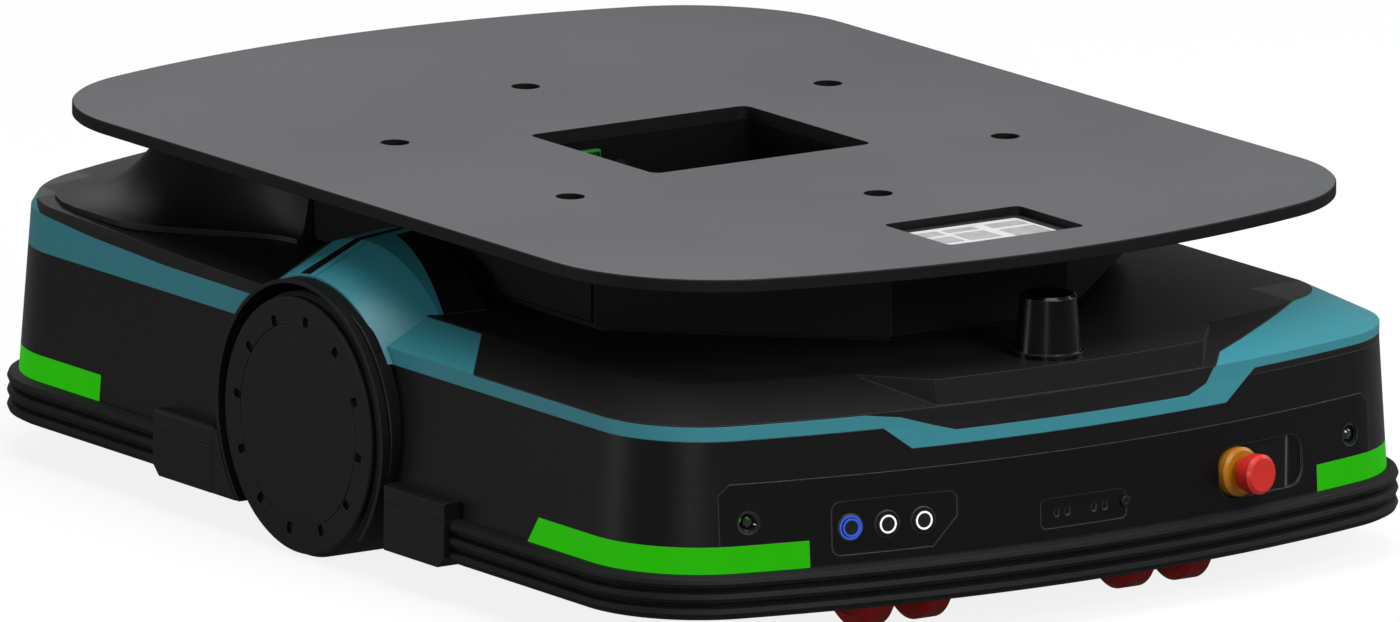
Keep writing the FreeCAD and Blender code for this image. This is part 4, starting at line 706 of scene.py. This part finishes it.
def buildCheeks():  # the rear sills run on to the wheel opening
    look, axle = fenderLook["cheek"], fenderLook["axleHeight"]
    for side, name in ((-1, "rearLeftCheek"), (1, "rearRightCheek")):
        outline = [(look["start"], look["low"]), (look["start"], look["high"])]
        for step in range(look["steps"] + 1):
            z = look["high"] + (look["low"] - look["high"]) * step / look["steps"]
            outline.append((math.sqrt(look["radius"] ** 2 - (axle - z) ** 2), z))
        loops = [[(side * x, y, z) for y, z in outline] for x in (look["inner"], look["face"])]
        addPiece(name, meshOf(name, [(loops, False)], None, "sill_abs", 20), "base")


buildGrooveShades()
buildLips()
buildCheeks()
# the fender seals in this print are the black strips of painted shade
print("riser fairing, fender seals, collar lips and sill cheeks built")


# Front face: a small latch by the port plate and a glowing green dot in each lens cup, a painted glint

faceLook = {"latchX": 42, "latchHeight": 85, "latchRadius": 4.2, "lensOffset": 273, "lensHeight": 101,
            "lensDepth": -4.6, "glintRadius": 1.7, "glintShift": (-5.0, 1.5, 0)}


def buildFaceBits():
    look = faceLook
    latch = [circleLoop(look["latchRadius"], -2, 28), circleLoop(look["latchRadius"], 0.9, 28),
             circleLoop(look["latchRadius"] - 0.6, 1.5, 28), circleLoop(1.6, 1.5, 28, 6),
             circleLoop(1.6, 0.4, 28, 6)]
    place = faceSpot(look["latchX"], look["latchHeight"])
    addPiece("portLatch", meshOf("portLatch", [(latch, False)], place, "sill_abs"), "base")
    # each green dot glows as a painted glint on the lens
    for side, name in ((-1, "leftLensDot"), (1, "rightLensDot")):
        dot = [circleLoop(look["glintRadius"], 0, 20), circleLoop(look["glintRadius"], 0.5, 20),
               circleLoop(look["glintRadius"] * 0.5, 0.9, 20)]
        place = faceSpot(side * look["lensOffset"], look["lensHeight"], look["lensDepth"])
        place = place @ Matrix.Translation(Vector(look["glintShift"]) * mm)
        addPiece(name, meshOf(name, [(dot, False)], place, "light_green"), "base")


buildFaceBits()
print("face fitted")


# Fasteners under the robot and under the plate

fastenLook = {"spread": 0.5,
              "riserScrew": {"head": (5.2, 4.0, 2.4), "height": 265.9, "seed": 3,
                             "half": ((215, 60), (215, -60), (215, 185), (215, -185),
                                      (110, -345), (110, 345), (40, 345), (40, -345))},
              "panScrew": {"head": (5.0, 3.2, 2.3), "height": 32, "seed": 4,
                           "columns": (-235, -120, 0, 120, 235), "rows": (-290, -100, 100, 290),
                           "endHeight": 92, "endColumn": 235, "endRows": (335, 415)},
              "castorBolt": {"head": (4.5, 4.5), "height": 87, "seed": 5, "reach": 28},
              "axleNut": {"head": (6.0, 3.2), "height": 32, "seed": 6, "reach": 36.6, "trail": 22},
              "castor": (119, 394)}


def buildScrews():  # under the plate and under the chassis pan
    look, down, along = fastenLook["riserScrew"], (0, 0, -1), (0, 1, 0)
    spots = []
    for side in (-1, 1):
        for x, y in look["half"]:
            spots.append(spot(-side * x, y, look["height"], down, along))
    unit = capScrew("riserScrew", *look["head"])
    addRepeated("riserScrews", unit, spots, "base", "screw_steel", fastenLook["spread"], look["seed"])
    look = fastenLook["panScrew"]
    spots = [spot(x, y, look["height"], down, along) for x in look["columns"] for y in look["rows"]]
    spots += [spot(side * look["endColumn"], end * y, look["endHeight"], down, along)
              for side in (-1, 1) for end in (-1, 1) for y in look["endRows"]]
    unit = capScrew("panScrew", *look["head"])
    addRepeated("panScrews", unit, spots, "base", "screw_steel", fastenLook["spread"], look["seed"])


def buildCastorFixings():  # four bolts in each swivel plate and a nut at both ends of each axle
    castorX, castorY = fastenLook["castor"]
    look, down, along = fastenLook["castorBolt"], (0, 0, -1), (0, 1, 0)
    reach, spots = look["reach"], []
    for x in (-castorX, castorX):
        for y in (-castorY, castorY):
            spots += [spot(x + a * reach, y + b * reach, look["height"], down, along)
                      for a in (-1, 1) for b in (-1, 1)]
    unit = hexBolt("castorBolt", *look["head"])
    addRepeated("castorBolts", unit, spots, "base", "zinc_steel", fastenLook["spread"], look["seed"])
    look = fastenLook["axleNut"]
    for end, y in (("front", -castorY), ("rear", castorY)):
        for side, x in (("left", -castorX), ("right", castorX)):
            rims = [spot(x + sign * look["reach"], y - look["trail"], look["height"], (sign, 0, 0))
                    for sign in (-1, 1)]
            name, body = end + side.capitalize() + "AxleNuts", end + "_" + side + "_rollers"
            unit = hexBolt(name + "Unit", *look["head"])
            addRepeated(name, unit, rims, body, "zinc_steel", fastenLook["spread"], look["seed"])


buildScrews()
buildCastorFixings()
print("fasteners set")


# Studio: pale floor, soft lights, long lens

studio = {
    "azimuth": -35.24, "elevation": 12.33, "roll": 0.5,
    "target": (0.0007, -0.0005, 0.144), "frameWidth": 1.0526, "lens": 700, "sensor": 36,
    "clipEnd": 500,
    "floorRadius": 90, "floorShade": 0.16, "floorGlow": 0.86, "ambient": 0.15, "mirrored": 0.08,
    "lamps": [  # name, direction azimuth and elevation, distance, size, watts
        ("overheadLamp", -20, 78, 4.0, 3.2, 100),
        ("frontLamp", 6, 32, 4.5, 2.2, 85),
        ("leftLamp", -112, 7, 4.5, 1.1, 30),
        ("cornerLamp", -38, 9, 4.5, 0.5, 22),
        ("rightLamp", 78, 26, 4.5, 2.2, 40),
        ("backLamp", 165, 35, 4.5, 2.5, 24),
    ],
}


def directionOf(azimuth, elevation):
    turn, lift = math.radians(azimuth), math.radians(elevation)
    return Vector((math.sin(turn) * math.cos(lift), -math.cos(turn) * math.cos(lift), math.sin(lift)))


def shownRays(tree):  # 1 for rays that show the surroundings, a share for reflections, 0 for the rest
    rays = addNode(tree, "ShaderNodeLightPath").outputs
    mirror = mathNode(tree, "MULTIPLY", rays["Is Glossy Ray"], studio["mirrored"])
    seen = mathNode(tree, "MAXIMUM", rays["Is Camera Ray"], mirror)
    return mathNode(tree, "MAXIMUM", seen, rays["Is Transmission Ray"])


def buildFloor():
    mesh = bpy.data.meshes.new("studioFloor")
    shape = bmesh.new()
    bmesh.ops.create_circle(shape, cap_ends=True, segments=96, radius=studio["floorRadius"])
    shape.to_mesh(mesh)
    shape.free()
    floor = bpy.data.objects.new("studioFloor", mesh)
    bpy.context.scene.collection.objects.link(floor)
    material, tree, place = startMaterial("palePaper")
    paper = addNode(tree, "ShaderNodeBsdfDiffuse", {"Color": [studio["floorShade"]] * 3 + [1.0]})
    level = mathNode(tree, "MULTIPLY", shownRays(tree), studio["floorGlow"])
    glow = addNode(tree, "ShaderNodeEmission", {"Color": [1.0] * 4}, {"Strength": level})
    both = addNode(tree, "ShaderNodeAddShader", links={0: paper.outputs[0], 1: glow.outputs[0]})
    addNode(tree, "ShaderNodeOutputMaterial", links={"Surface": both.outputs[0]})
    mesh.materials.append(material)


def buildWorld():
    world = bpy.data.worlds.new("studioWorld")
    bpy.context.scene.world = world
    world.use_nodes = True
    tree = world.node_tree
    tree.nodes.clear()
    level = addNode(tree, "ShaderNodeMapRange", {"To Min": studio["ambient"], "To Max": 1.0},
                    {"Value": shownRays(tree)})
    sky = addNode(tree, "ShaderNodeBackground", {"Color": [1.0] * 4}, {"Strength": level.outputs["Result"]})
    addNode(tree, "ShaderNodeOutputWorld", links={"Surface": sky.outputs[0]})


def buildLamps():
    for name, azimuth, elevation, distance, size, watts in studio["lamps"]:
        light = bpy.data.lights.new(name, "AREA")
        light.shape = "DISK"
        light.size = size
        light.energy = watts
        lamp = bpy.data.objects.new(name, light)
        way = directionOf(azimuth, elevation)
        lamp.location = Vector(studio["target"]) + way * distance
        lamp.rotation_euler = way.to_track_quat("Z", "Y").to_euler()
        lamp.visible_camera = False
        bpy.context.scene.collection.objects.link(lamp)


def buildCamera():
    back = directionOf(studio["azimuth"], studio["elevation"])
    data = bpy.data.cameras.new("studioCamera")
    data.sensor_width = studio["sensor"]
    data.lens = studio["lens"]
    data.clip_end = studio["clipEnd"]
    camera = bpy.data.objects.new("studioCamera", data)
    distance = studio["frameWidth"] * studio["lens"] / studio["sensor"]
    camera.location = Vector(studio["target"]) + back * distance
    roll = Matrix.Rotation(math.radians(studio["roll"]), 3, "Z")
    camera.rotation_euler = (back.to_track_quat("Z", "Y").to_matrix() @ roll).to_euler()
    bpy.context.scene.collection.objects.link(camera)
    bpy.context.scene.camera = camera


buildFloor()
buildWorld()
buildLamps()
buildCamera()
bpy.context.scene.view_settings.view_transform = "Standard"
print("studio ready")
